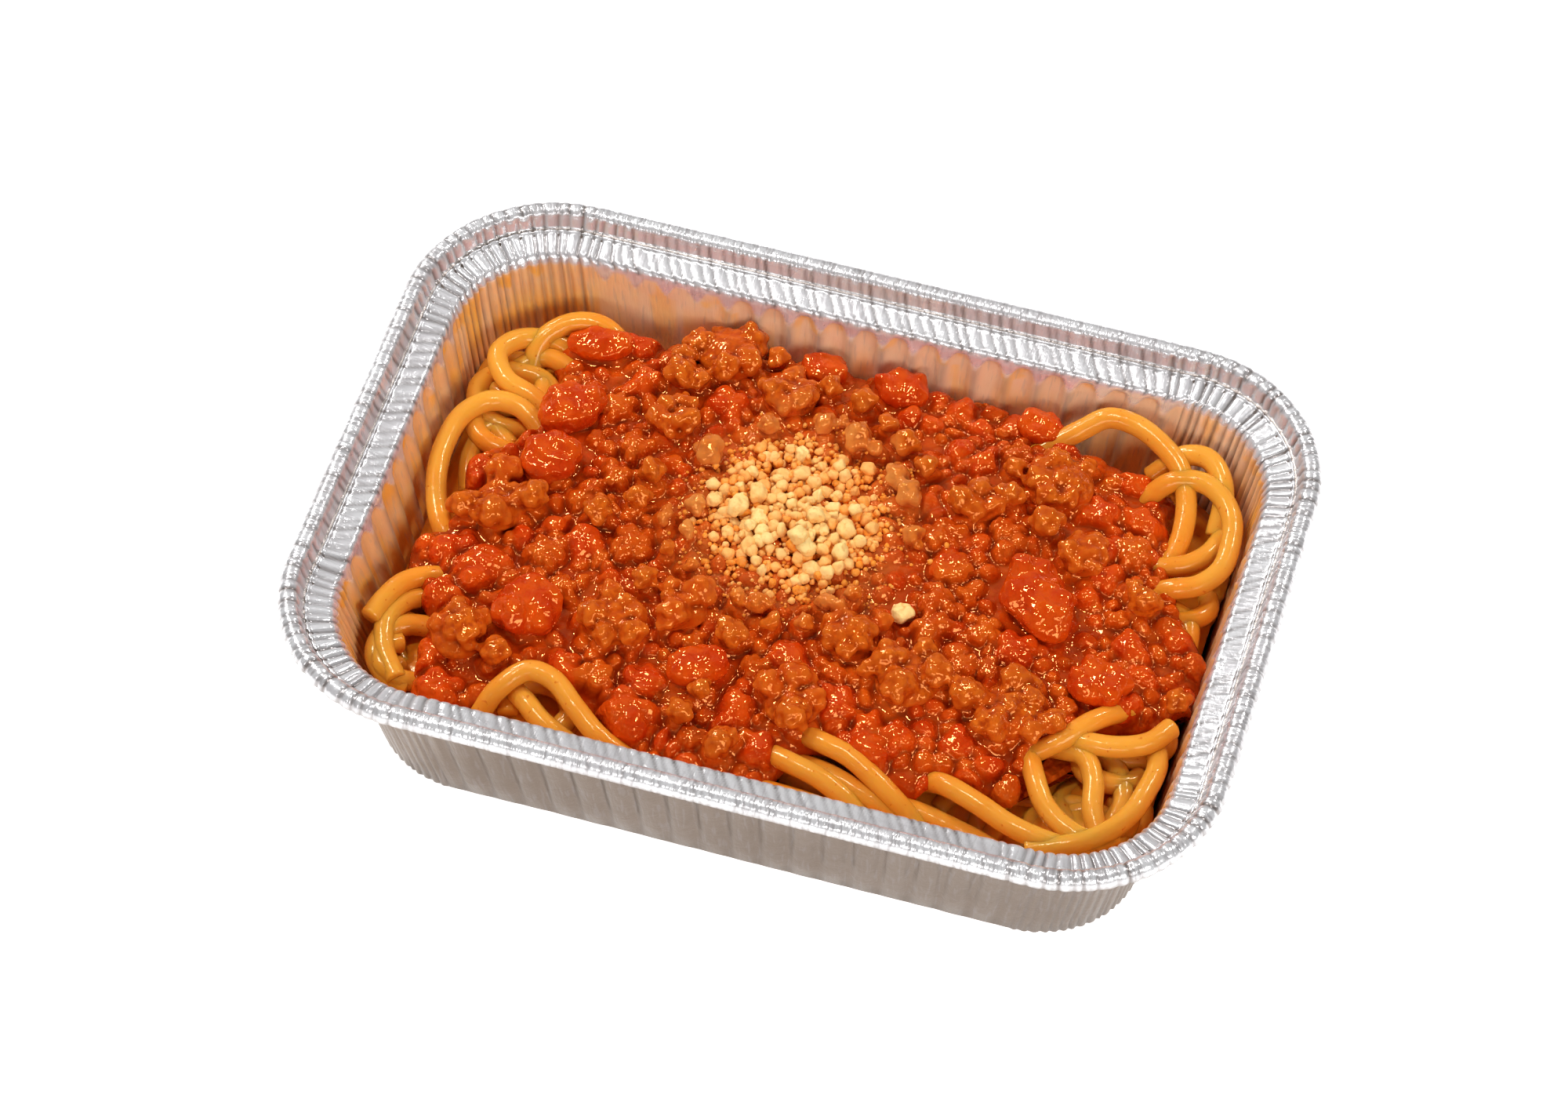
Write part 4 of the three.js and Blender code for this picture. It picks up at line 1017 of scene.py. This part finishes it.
def mince_lumps(random):
    """Lumps of mince as x, y, z, diameter and how much sauce coats them."""
    lumps = [(*lump, 0.1) for lump in placed_lumps(MINCE_LUMPS, lift=1.2)]
    for lump in placed_lumps(COATED_LUMPS, lift=1.0):
        if any(in_clump(*lump[:2], clump) for clump in MINCE_CLUMPS):
            lumps.append((*lump, 0.75))
    # a clump that is bare so far gets lumps of its own
    for x, y, width, lift in MINCE_CLUMPS:
        for i in range(7):
            angle = math.radians(60 * i + 25 * random.uniform(-1, 1))
            reach = 0.27 * width if i < 6 else 0
            a, b = x + reach * math.cos(angle), y + reach * math.sin(angle)
            if all(math.hypot(a - lump[0], b - lump[1]) > 0.45 * lump[3] for lump in lumps):
                lumps.append((a, b, mound_z(a, b) + 0.3 + 0.6 * lift, random.uniform(4.5, 6.5), 0.45))
    return lumps


def knobs_of(random, x, y, z, diameter):
    """A lump's balls as x, y, z, radius: a main one, and lobes spread over its upper side."""
    balls = [(x, y, z, 0.36 * diameter)]
    count = int(np.clip(round(1.5 * diameter), 5, 13))
    first = random.uniform(0, 2 * math.pi)
    for i in range(count):
        rise = math.radians(80 * (i + 0.5) / count + random.uniform(-8, 8))
        angle = first + i * math.pi * (3 - math.sqrt(5)) + random.uniform(-0.3, 0.3)
        away = diameter * random.uniform(0.29, 0.36)
        radius = np.clip(diameter * random.uniform(0.15, 0.24), 0.7, KNOB_RADIUS)
        balls.append((x + away * math.cos(rise) * math.cos(angle),
                      y + away * math.cos(rise) * math.sin(angle), z + away * math.sin(rise), radius))
    return balls


def rough_ball(points, random, x, y, z, radius):
    shape = points * radius * (1 + 0.1 * noise(points * radius + (x, y, z), 1.9, seed=31)[:, None])
    return shape * random.uniform(0.9, 1.1, 3) + (x, y, z)


def bent(points):
    """Points shifted by a smooth noise, so that no ball is quite round."""
    return points + 0.3 * np.stack([noise(points, 3.4, seed=34 + axis) for axis in range(3)], axis=1)


def build_mince(random, surface, lumps):
    parts = []
    coats = KDTree(len(lumps))
    for number, (x, y, z, diameter, _) in enumerate(lumps):
        coats.insert((x, y, z), number)
        for ball in knobs_of(random, x, y, z, diameter):
            points, faces = ICOSPHERES[3 if ball[3] > 1.4 else 2]
            shape = bent(rough_ball(points, random, *ball))
            floor = surface.at(surface.z, shape[:, 0], shape[:, 1]) - 1.5
            shape[:, 2] = np.maximum(shape[:, 2], floor)
            parts.append((keep_inside(shape, WALL_GAP), [faces]))
    # a flat ball under each clump closes the gaps between its lumps
    points, faces = ICOSPHERES[3]
    for x, y, width, lift in MINCE_CLUMPS:
        body = points * np.array([0.40, 0.40, 0.20]) * width + (x, y, mound_z(x, y) - 0.5 + 0.6 * lift)
        parts.append((bent(body), [faces]))
    coats.balance()
    skin, quads = remeshed(parts, MINCE_VOXEL)
    skin = smoothed(skin, quads, rounds=1)
    normals = normals_of(skin, quads)
    skin = skin + normals * (0.12 * rough(skin, 1.5, seed=41, octaves=2))[:, None]
    proud = np.sum((skin - smoothed(skin, quads, rounds=16)) * normals, axis=1)
    knob = np.clip(0.5 + proud / 0.65, 0, 1)
    coat = np.array([lumps[coats.find(point)[1]][4] for point in skin])
    over = skin[:, 2] - surface.at(surface.z, skin[:, 0], skin[:, 1])
    splash = smoothstep(1.3, 0.0, over + 0.5 * noise(skin, 2.0, seed=43))
    wet = np.clip(coat + splash + 0.25 * noise(skin, 2.4, seed=44), 0, 1)
    return new_mesh("mince_crumbs", skin, [quads], {"wet": wet, "knob": knob, "dust": cheese_dust(skin)})


def cheese_dust(points):
    """How much of the cheese's oil and dust lies on the food, from 0 to 1."""
    away = np.hypot((points[:, 0] - CHEESE["x"]) / CHEESE["half_x"],
                    (points[:, 1] - CHEESE["y"]) / CHEESE["half_y"])
    return smoothstep(1.65, 0.9, away + 0.25 * noise(points, 3.0, seed=45))


def build_tomato(random, surface):
    """Each piece is a flat ball with bulges, in one wrinkled skin."""
    points, faces = ICOSPHERES[4]
    parts = []
    for x, y, length, width, turn in TOMATO_PIECES:
        cos, sin = math.cos(math.radians(turn)), math.sin(math.radians(turn))
        spin = np.array([[cos, sin, 0], [-sin, cos, 0], [0, 0, 1]])
        body = points * (0.46 * length, 0.46 * width, 0.31 * width)
        parts.append((bent(body @ spin + (x, y, mound_z(x, y) + 0.6)), [faces]))
        for angle in around(random, TOMATO_BULGES, jitter=0.3):
            share = random.uniform(0.5, 0.68)
            bulge = np.array([0.5 * length * share * math.cos(angle),
                              0.5 * width * share * math.sin(angle),
                              0.10 * width + random.uniform(-0.3, 0.5)]) @ spin
            radius = width * random.uniform(0.17, 0.26)
            ball = rough_ball(points, random, *(bulge + (x, y, mound_z(x, y) + 0.3)), radius)
            parts.append((bent(ball), [faces]))
    parts = [(keep_inside(shape, WALL_GAP), ball_faces) for shape, ball_faces in parts]
    skin, quads = remeshed(parts, TOMATO_VOXEL)
    skin = smoothed(skin, quads, rounds=3)
    folds = 0.5 - np.abs(noise(skin, 3.2, seed=51)) - 0.6 * np.abs(noise(skin, 1.7, seed=52))
    skin = skin + normals_of(skin, quads) * (0.65 * folds)[:, None]
    over = skin[:, 2] - surface.at(surface.z, skin[:, 0], skin[:, 1])
    splash = smoothstep(1.2, 0.0, over + 0.6 * noise(skin, 2.6, seed=53))
    return new_mesh("tomato_chunks", skin, [quads], {"wet": splash})


def build_sauce(surface):
    """The sauce inside its edge, with a rounded rim, a skirt and a closed underside."""
    depth = surface.edge
    index = np.arange(depth.size).reshape(depth.shape)
    kept = depth > -0.6 * GRID_STEP
    corners = [np.s_[:-1, :-1], np.s_[1:, :-1], np.s_[1:, 1:], np.s_[:-1, 1:]]
    cells = np.logical_and.reduce([kept[corner] for corner in corners])
    quads = np.stack([index[corner][cells] for corner in corners], axis=-1)
    uses = np.bincount(quads.ravel(), minlength=depth.size).reshape(depth.shape)
    border = (uses > 0) & (uses < 4)
    # the border is moved onto the edge, along the slope of the distance from it
    slope_x, slope_y = np.gradient(depth, GRID_STEP)
    steep = np.maximum(slope_x**2 + slope_y**2, 0.3)
    move = np.where(border, np.clip(depth, -GRID_STEP, GRID_STEP) / steep, 0)
    rim = np.sqrt(np.clip(1 - (1 - np.clip(depth / RIM_WIDTH, 0, 1)) ** 2, 0, 1))
    z = surface.z - RIM_DROP * np.where(border, 1, 1 - rim)
    points = np.stack([surface.x - move * slope_x, surface.y - move * slope_y, z], axis=-1)
    used = np.unique(quads)
    renumber = np.full(depth.size, -1)
    renumber[used] = np.arange(len(used))
    points, quads = points.reshape(-1, 3)[used], renumber[quads]
    # the skirt carries the edges that one face uses down and inwards
    edges = edges_of(quads)
    keys = np.sort(edges, axis=1) @ np.array([len(points), 1])
    _, first, counts = np.unique(keys, return_index=True, return_counts=True)
    open_edges = edges[first[counts == 1]]
    ring = np.unique(open_edges)
    inward = np.stack([slope.ravel()[used][ring] for slope in (slope_x, slope_y)], axis=1)
    inward *= SKIRT_IN / np.maximum(np.linalg.norm(inward, axis=1), 0.3)[:, None]
    lower = points[ring] + np.hstack([inward, np.full((len(ring), 1), -SKIRT_DOWN)])
    below = np.full(len(points), -1)
    below[ring] = len(points) + np.arange(len(ring))
    a, b = open_edges.T
    skirt = np.stack([b, a, below[a], below[b]], axis=1)
    places = np.stack([surface.x, surface.y, surface.z], axis=-1).reshape(-1, 3)
    fields = {"red": np.clip(surface.red, 0, 1), "hollow": surface.hollow(), "dust": cheese_dust(places)}
    attributes = {key: np.concatenate([field.ravel()[used], field.ravel()[used][ring]])
                  for key, field in fields.items()}
    mesh = new_mesh("meat_sauce_poured", np.vstack([points, lower]), [quads, skirt], attributes)
    bm = bmesh.new()
    bm.from_mesh(mesh)
    bmesh.ops.holes_fill(bm, edges=[e for e in bm.edges if e.is_boundary], sides=0)
    bm.to_mesh(mesh)
    bm.free()
    return mesh


# ---------------------------------------------------------------- noodles

TUBE_SIDES = 16
END_WIDTH, END_BEVEL = 0.88, 0.3    # a tube's flat end as a share of its width, and the bevel's length
ROUTE_STEP = 0.8
# deeper strands along the front wall, each by the points its centre line passes through
FRONT_STRANDS = [
    [(-9, -44, 22), (3, -46.5, 25), (16, -47.5, 25.5), (29, -48.5, 24), (42, -48.5, 22), (54, -46, 20)],
    [(8, -40, 22), (20, -43, 24.5), (33, -43, 25), (45, -45, 24), (57, -47.5, 22.5), (66, -45, 20)],
    [(6, -38, 23), (16, -41, 27), (26, -44, 26.5), (36, -46.5, 24)],
    [(-30, -46, 20), (-14, -48, 21.5), (2, -49, 21.5), (18, -49, 20.5), (34, -49, 19)],
]
# loops that lie deeper: the heights of their layers and how many each has, the rounded oblong that
# their middles lie on, how far these keep from the wall, and radius, sweep and arch of a loop
LOOPS = dict(layers=(24.0, 20.5, 17.0), count=15, half_x=78, half_y=50, squareness=0.45,
             from_wall=(8, 13), radius=(5, 8.5), sweep=(3, 5.2), arch=1.6)
# height of each ring of the core, and its clearance from the wall
CORE_RINGS = [(1.2, 5.0), (4.0, 0.6), (12.0, 0.6), (18.0, 1.0), (20.5, 5.0), (22.0, 11.0)]
CORE_TOP = 26.0
CORE_COLUMNS = 96


def tube(route, radius):
    """A closed tube along a route, with bevelled flat ends."""
    route = np.asarray(route)
    ahead = np.gradient(route, axis=0)
    ahead /= np.linalg.norm(ahead, axis=1)[:, None]
    side = np.cross(ahead[0], (0, 0, 1.0))
    side /= np.linalg.norm(side)
    angles = np.linspace(0, 2 * math.pi, TUBE_SIDES, endpoint=False)
    circle = np.stack([np.cos(angles), np.sin(angles)], axis=1)
    # per ring: the point of the route, the share of the radius, and how far it slides ahead
    last = len(route) - 1
    stations = [(0, END_WIDTH, 0.0), (0, 1.0, END_BEVEL), *((i, 1.0, 0.0) for i in range(1, last)),
                (last, 1.0, -END_BEVEL), (last, END_WIDTH, 0.0)]
    rings = []
    for i, width, slide in stations:
        side = side - ahead[i] * (side @ ahead[i])
        side /= np.linalg.norm(side)
        plane = np.array([side, np.cross(ahead[i], side)])
        rings.append(route[i] + slide * ahead[i] + width * radius * (circle @ plane))
    return loft(rings, [route[0], route[-1]])


def squarish(angles, half_x, half_y, power):
    """Points in plan on the outline of a rounded oblong."""
    across, along = np.cos(angles), np.sin(angles)
    return (half_x * np.sign(across) * np.abs(across) ** power,
            half_y * np.sign(along) * np.abs(along) ** power)


def lower_loops(random):
    """Routes of noodles that lie deeper, along the wall and in the corners."""
    routes = list(FRONT_STRANDS)
    shares = np.linspace(0, 1, 7)
    for z in LOOPS["layers"]:
        for _ in range(LOOPS["count"]):
            x, y = squarish(random.uniform(0, 2 * math.pi), LOOPS["half_x"], LOOPS["half_y"],
                            LOOPS["squareness"])
            centre = keep_inside([(x, y, z)], random.uniform(*LOOPS["from_wall"]))[0]
            radius = random.uniform(*LOOPS["radius"])
            first = random.uniform(0, 2 * math.pi)
            angles = first + random.uniform(*LOOPS["sweep"]) * shares
            height = z + LOOPS["arch"] * np.sin(math.pi * shares) + random.uniform(-1, 1)
            routes.append(np.stack([centre[0] + radius * np.cos(angles),
                                    centre[1] + 0.85 * radius * np.sin(angles), height], axis=1))
    return routes


def build_pasta(random, surface):
    parts, tints = [], []
    for layer, routes in enumerate((NOODLES, lower_loops(random))):
        for route in routes:
            middle = keep_inside(spline(route, ROUTE_STEP), NOODLE_RADIUS + 0.15)
            points, faces = tube(middle, NOODLE_RADIUS * random.uniform(0.94, 1.0))
            points = keep_inside(points, clearance=0.12)
            parts.append((points, faces))
            edge = surface.at(surface.edge, points[:, 0], points[:, 1])
            near = smoothstep(-7, 1.5, edge + 3.0 * noise(points, 5, seed=61))
            tints.append(np.clip(0.65 * near + 0.3 * layer, 0, 1))
    parts.append(pasta_core())
    tints.append(np.ones(len(parts[-1][0])))
    points, faces = joined(parts)
    return new_mesh("spaghetti_strands", points, faces, {"tint": np.concatenate(tints)})


def pasta_core():
    """The bulk of the noodles under those that show: a domed loft inside the wall."""
    angles = np.linspace(0, 2 * math.pi, CORE_COLUMNS, endpoint=False)
    x, y = squarish(angles, TRAY["length"] / 2, TRAY["width"] / 2, power=0.5)
    rings = [keep_inside(np.stack([x, y, np.full_like(x, z)], axis=1), clearance)
             for z, clearance in CORE_RINGS]
    return loft(rings, [[0, 0, CORE_RINGS[0][0]], [0, 0, CORE_TOP]])


# ---------------------------------------------------------------- cheese

# crumbs by how many, their least and largest radius, and how far out they lie
CHEESE_CRUMBS = [(300, 0.25, 0.42, 1.45), (560, 0.42, 0.8, 1.15), (230, 0.8, 1.4, 0.97),
                 (16, 1.6, 2.2, 0.8)]
CRUMB_FLATNESS = 0.85    # of the room that a crumb takes up
CRUMB_FACETS = 9


def cheese_crumbs(random):
    """Place in the heap, as a share of its half width, and radius of each crumb, in the order in
    which they fall."""
    crumbs = []
    for count, least, most, reach in CHEESE_CRUMBS:
        for _ in range(count):
            share = reach * random.uniform(0, 1) ** 0.62
            crumbs.append((share, random.uniform(0, 2 * math.pi), random.uniform(least, most)))
    order = random.permutation(len(crumbs)) / len(crumbs)
    return [crumbs[i] for i in np.argsort(order + [0.25 * c[2] for c in crumbs])]


def near(surface, x, y, radius):
    """The window of the grid around a place, and the squares of its points' distances from there."""
    here = surface.window(x, y, radius)
    return here, (surface.x[here] - x) ** 2 + (surface.y[here] - y) ** 2


def raise_ball(surface, ground, x, y, z, radius, flatness=1.0):
    """Raises the ground to the top of a ball."""
    here, square = near(surface, x, y, radius)
    cap = z + flatness * np.sqrt(np.maximum(radius**2 - square, 0))
    ground[here] = np.where(square < radius**2, np.maximum(ground[here], cap), ground[here])


def rest_height(surface, ground, x, y, radius):
    """Height of a crumb's middle when it rests at a place, sunk a little between its neighbours."""
    here, square = near(surface, x, y, radius)
    under = ground[here][square < (0.85 * radius) ** 2]
    return float(np.mean(under)) + 0.62 * radius if len(under) else float(surface.at(ground, x, y))


def falling_crumbs(random):
    """Where each crumb falls: x, y, its radius and how pale it is."""
    falls = [(CHEESE["x"] + share * CHEESE["half_x"] * math.cos(angle),
              CHEESE["y"] + share * CHEESE["half_y"] * math.sin(angle), radius, 1.0 - 0.55 * share)
             for share, angle, radius in cheese_crumbs(random)]
    for px, py, across, pale in CHEESE_OUTLIERS:
        x, y, _ = on_food(px, py, lift=1.5)
        falls.append((x[0], y[0], across / PIXELS_PER_MM["across"] / 2, pale))
    return falls


def build_cheese(random, surface, lumps):
    """Crumbs dropped one by one, each on the lowest of a few places near where it falls."""
    ground = surface.z.copy()
    for x, y, z, diameter, _ in lumps:
        raise_ball(surface, ground, x, y, z, 0.45 * diameter)
    parts, rests = [], []
    for x, y, radius, pale in falling_crumbs(random):
        tries = [(x, y)] + [(x + a, y + b) for a, b in random.normal(0, 0.9, (4, 2))]
        z, x, y = min((rest_height(surface, ground, a, b, radius), a, b) for a, b in tries)
        raise_ball(surface, ground, x, y, z, radius, CRUMB_FLATNESS)
        parts.append(crumb(random, x, y, z, radius))
        pale += -0.70 + 0.50 * radius + random.uniform(-0.4, 0.4)
        rests.append((x, y, z + CRUMB_FLATNESS * radius, pale))
    # painted shade: the deeper a crumb is buried, the more amber it is
    x, y, top, pale = np.array(rests).T
    pale = np.clip(pale - 0.3 * (surface.at(ground, x, y) - top), 0, 1)
    shades = []
    for (points, _), shade in zip(parts, pale):
        height = (points[:, 2] - points[:, 2].min()) / np.ptp(points[:, 2])
        # painted shade: each crumb turns amber towards its bottom
        shades.append(np.clip(shade - 0.4 * smoothstep(0.9, 0.1, height), 0, 1))
    points, faces = joined(parts)
    return new_mesh("cheese_grains", points, faces, {"pale": np.concatenate(shades)})


def crumb(random, x, y, z, radius):
    """A crumb with flat faces, blunt edges between them, and roughness over it all."""
    points, faces = ICOSPHERES[4 if radius > 1.6 else 3 if radius > 0.7 else 2]
    facets = random.normal(size=(CRUMB_FACETS, 3))
    facets /= np.linalg.norm(facets, axis=1)[:, None]
    facing = (points @ facets.T).max(axis=1)
    reach = 0.82 / np.maximum(facing, 0.80) + 0.18 * noise(points + (x, y, z), 0.6, seed=72)
    return points * reach[:, None] * radius * random.uniform(0.85, 1.15, 3) + (x, y, z), [faces]


# ---------------------------------------------------------------- everything together

# lumps of the sauce: height over it, width of the dome, how red it is, the radius over which it
# has lobes, and what these are like, as ranges and as shares of the radius where they are lengths
LUMP_KINDS = {
    "red": dict(lift=0.9, width=0.95, red=1.0, lobes_over=3.2, lobes=4, jitter=0.4, away=(0.4, 0.6),
                rise=(-0.75, 0.25), size=(0.42, 0.6), blend=0.5, lobe_red=1.0),
    "coated": dict(lift=1.0, width=0.85, red=0.2, lobes_over=0, lobes=6, jitter=0.3, away=(0.5, 0.7),
                   rise=(-0.5, 0.1), size=(0.32, 0.45), blend=0.35, lobe_red=0.15),
}
FILLERS = 460


def raise_lump(random, surface, x, y, radius, kind):
    """A dome of sauce with smaller domes around its middle."""
    top = mound_z(x, y) + VALLEY + kind["lift"] + 0.55 * radius
    surface.add_dome(x, y, top, kind["width"] * radius, red=kind["red"])
    if radius <= kind["lobes_over"]:
        return
    for angle in around(random, kind["lobes"], kind["jitter"]):
        away = radius * random.uniform(*kind["away"])
        surface.add_dome(x + away * math.cos(angle), y + away * math.sin(angle),
                         top + random.uniform(*kind["rise"]), radius * random.uniform(*kind["size"]),
                         blend=kind["blend"], red=kind["lobe_red"])


def raise_lumps(random, surface, lumps):
    """Lifts the sauce over its own lumps, and up against the pieces that lie in it."""
    for x, y, _, across in placed_lumps(RED_LUMPS, lift=0.3):
        if not any(in_piece(x, y, piece) for piece in TOMATO_PIECES):
            raise_lump(random, surface, x, y, across / 2, LUMP_KINDS["red"])
    for x, y, _, across in placed_lumps(COATED_LUMPS, lift=0.6):
        if not any(in_clump(x, y, clump) for clump in MINCE_CLUMPS):
            raise_lump(random, surface, x, y, across / 2, LUMP_KINDS["coated"])
    for x, y, length, width, turn in TOMATO_PIECES:
        surface.add_dome(x, y, mound_z(x, y) + 1.2, width / 2 + 0.7, blend=1.2, red=1.0,
                         stretch=length / width, turn=math.radians(turn))
    for x, y, z, diameter, _ in lumps:
        surface.add_dome(x, y, z - 0.08 * diameter, 0.5 * diameter, blend=0.9, red=0.25)


def raise_fillers(random, surface, lumps):
    """Small lumps of sauce between the large ones."""
    taken = [(x, y, 0.42 * diameter) for x, y, _, diameter, _ in lumps]
    for table in (RED_LUMPS, COATED_LUMPS):
        taken += [(x, y, 0.42 * across) for x, y, _, across in placed_lumps(table, lift=0.4)]
    taken += [(x, y, 0.45 * length) for x, y, length, _, _ in TOMATO_PIECES]
    for x, y in scatter(random, surface, FILLERS, spacing=2.8, margin=1.6, taken=taken):
        radius = random.uniform(1.1, 2.5)
        surface.add_dome(x, y, mound_z(x, y) + VALLEY + 0.45 + 0.62 * radius, radius, blend=0.6,
                         red=random.uniform(0.1, 0.9))


def build_food():
    random = np.random.default_rng(12)
    surface = Surface()
    lumps = mince_lumps(random)
    raise_lumps(random, surface, lumps)
    raise_fillers(random, surface, lumps)
    surface.wrinkle()

    sauce = build_sauce(surface)
    mince = build_mince(random, surface, lumps)
    tomato = build_tomato(random, surface)
    pasta = build_pasta(np.random.default_rng(8), surface)
    cheese = build_cheese(np.random.default_rng(9), surface, lumps)

    mince_nodes = [f"mince_{i + 1:02d}" for i in range(len(MINCE_CLUMPS))]
    tomato_nodes = [f"tomato_{i + 1:02d}" for i in range(len(TOMATO_PIECES))]
    add_piece("spaghetti_strands", pasta, pasta_material(), ["spaghetti"])
    add_piece("meat_sauce_poured", sauce, sauce_material(), ["meat_sauce"])
    add_piece("mince_crumbs", mince, mince_material(), mince_nodes)
    add_piece("tomato_chunks", tomato, tomato_material(), tomato_nodes)
    add_piece("cheese_grains", cheese, cheese_material(), ["cheese_crumbs"])


def add_camera():
    place, forward, right, up = view_axes()
    camera = new_object("camera", bpy.data.cameras.new("camera"))
    camera.data.lens = VIEW["lens"]
    camera.data.sensor_width = VIEW["sensor"]
    rows = [[right[k], up[k], -forward[k], place[k] * MM] for k in range(3)]
    camera.matrix_world = Matrix([*rows, [0, 0, 0, 1]])
    bpy.context.scene.camera = camera


# area lights, in metres and watts: place, size and power
LIGHTS = {
    "softbox": ((-0.30, 0.66, 0.95), (1.2, 1.0), 0.65),
    "lamp_0": ((-0.68, 0.62, 0.63), (0.15, 0.15), 3.45),
    "lamp_1": ((-0.62, 0.20, 0.93), (0.15, 0.15), 3.8),
    "lamp_2": ((-0.18, -0.06, 1.08), (0.13, 0.13), 2.5),
    "lamp_3": ((0.42, 0.60, 0.84), (0.13, 0.13), 2.8),
    "front": ((0.1, -1.10, 0.5), (0.7, 0.3), 3.6),
    "side": ((0.75, -0.60, 0.6), (0.5, 0.4), 4.2),
}
LIGHTS_AIM = (0, 0, 0.03)
FLOOR_HALF = 3000
FLOOR_DROP = 0.0002    # metres under the tray, so that the two don't touch


def add_light(name, place, size, power):
    light = new_object(name, bpy.data.lights.new(name, "AREA"))
    light.data.shape = "RECTANGLE"
    light.data.size, light.data.size_y = size
    light.data.energy = power
    light.location = place
    light.rotation_euler = (Vector(LIGHTS_AIM) - Vector(place)).to_track_quat("-Z", "Y").to_euler()


def add_world():
    """A dim room with broad lighter and darker parts, which the foil shows."""
    world = bpy.data.worlds.new("studio")
    world.use_nodes = True
    nodes = Nodes(world.node_tree, "Generated")
    room = nodes.add("TexNoise", {"Vector": nodes.place, "Scale": 2.4, "Detail": 1.0}).outputs["Fac"]
    background = world.node_tree.nodes["Background"]
    nodes.put((0.97, 0.98, 1.0, 1), background.inputs["Color"])
    nodes.put(nodes.ramp(room, 0.36, 0.64, 0.04, 0.20), background.inputs["Strength"])
    bpy.context.scene.world = world


def add_floor():
    corners = [(-1, -1, 0), (1, -1, 0), (1, 1, 0), (-1, 1, 0)]
    mesh = new_mesh("floor", FLOOR_HALF * np.array(corners), [np.array([[0, 1, 2, 3]])])
    mesh.materials.append(floor_material())
    floor = new_object("floor", mesh)
    floor.location.z = -FLOOR_DROP


def add_studio():
    add_world()
    for name, (place, size, power) in LIGHTS.items():
        add_light(name, place, size, power)
    add_floor()
    settings = bpy.context.scene.view_settings
    settings.view_transform = "Standard"
    settings.look = "None"
    settings.exposure = 0.0


add_camera()
add_piece("foil_tray_formed", build_tray(), foil_material(), ["foil_tray"])
build_food()
add_studio()
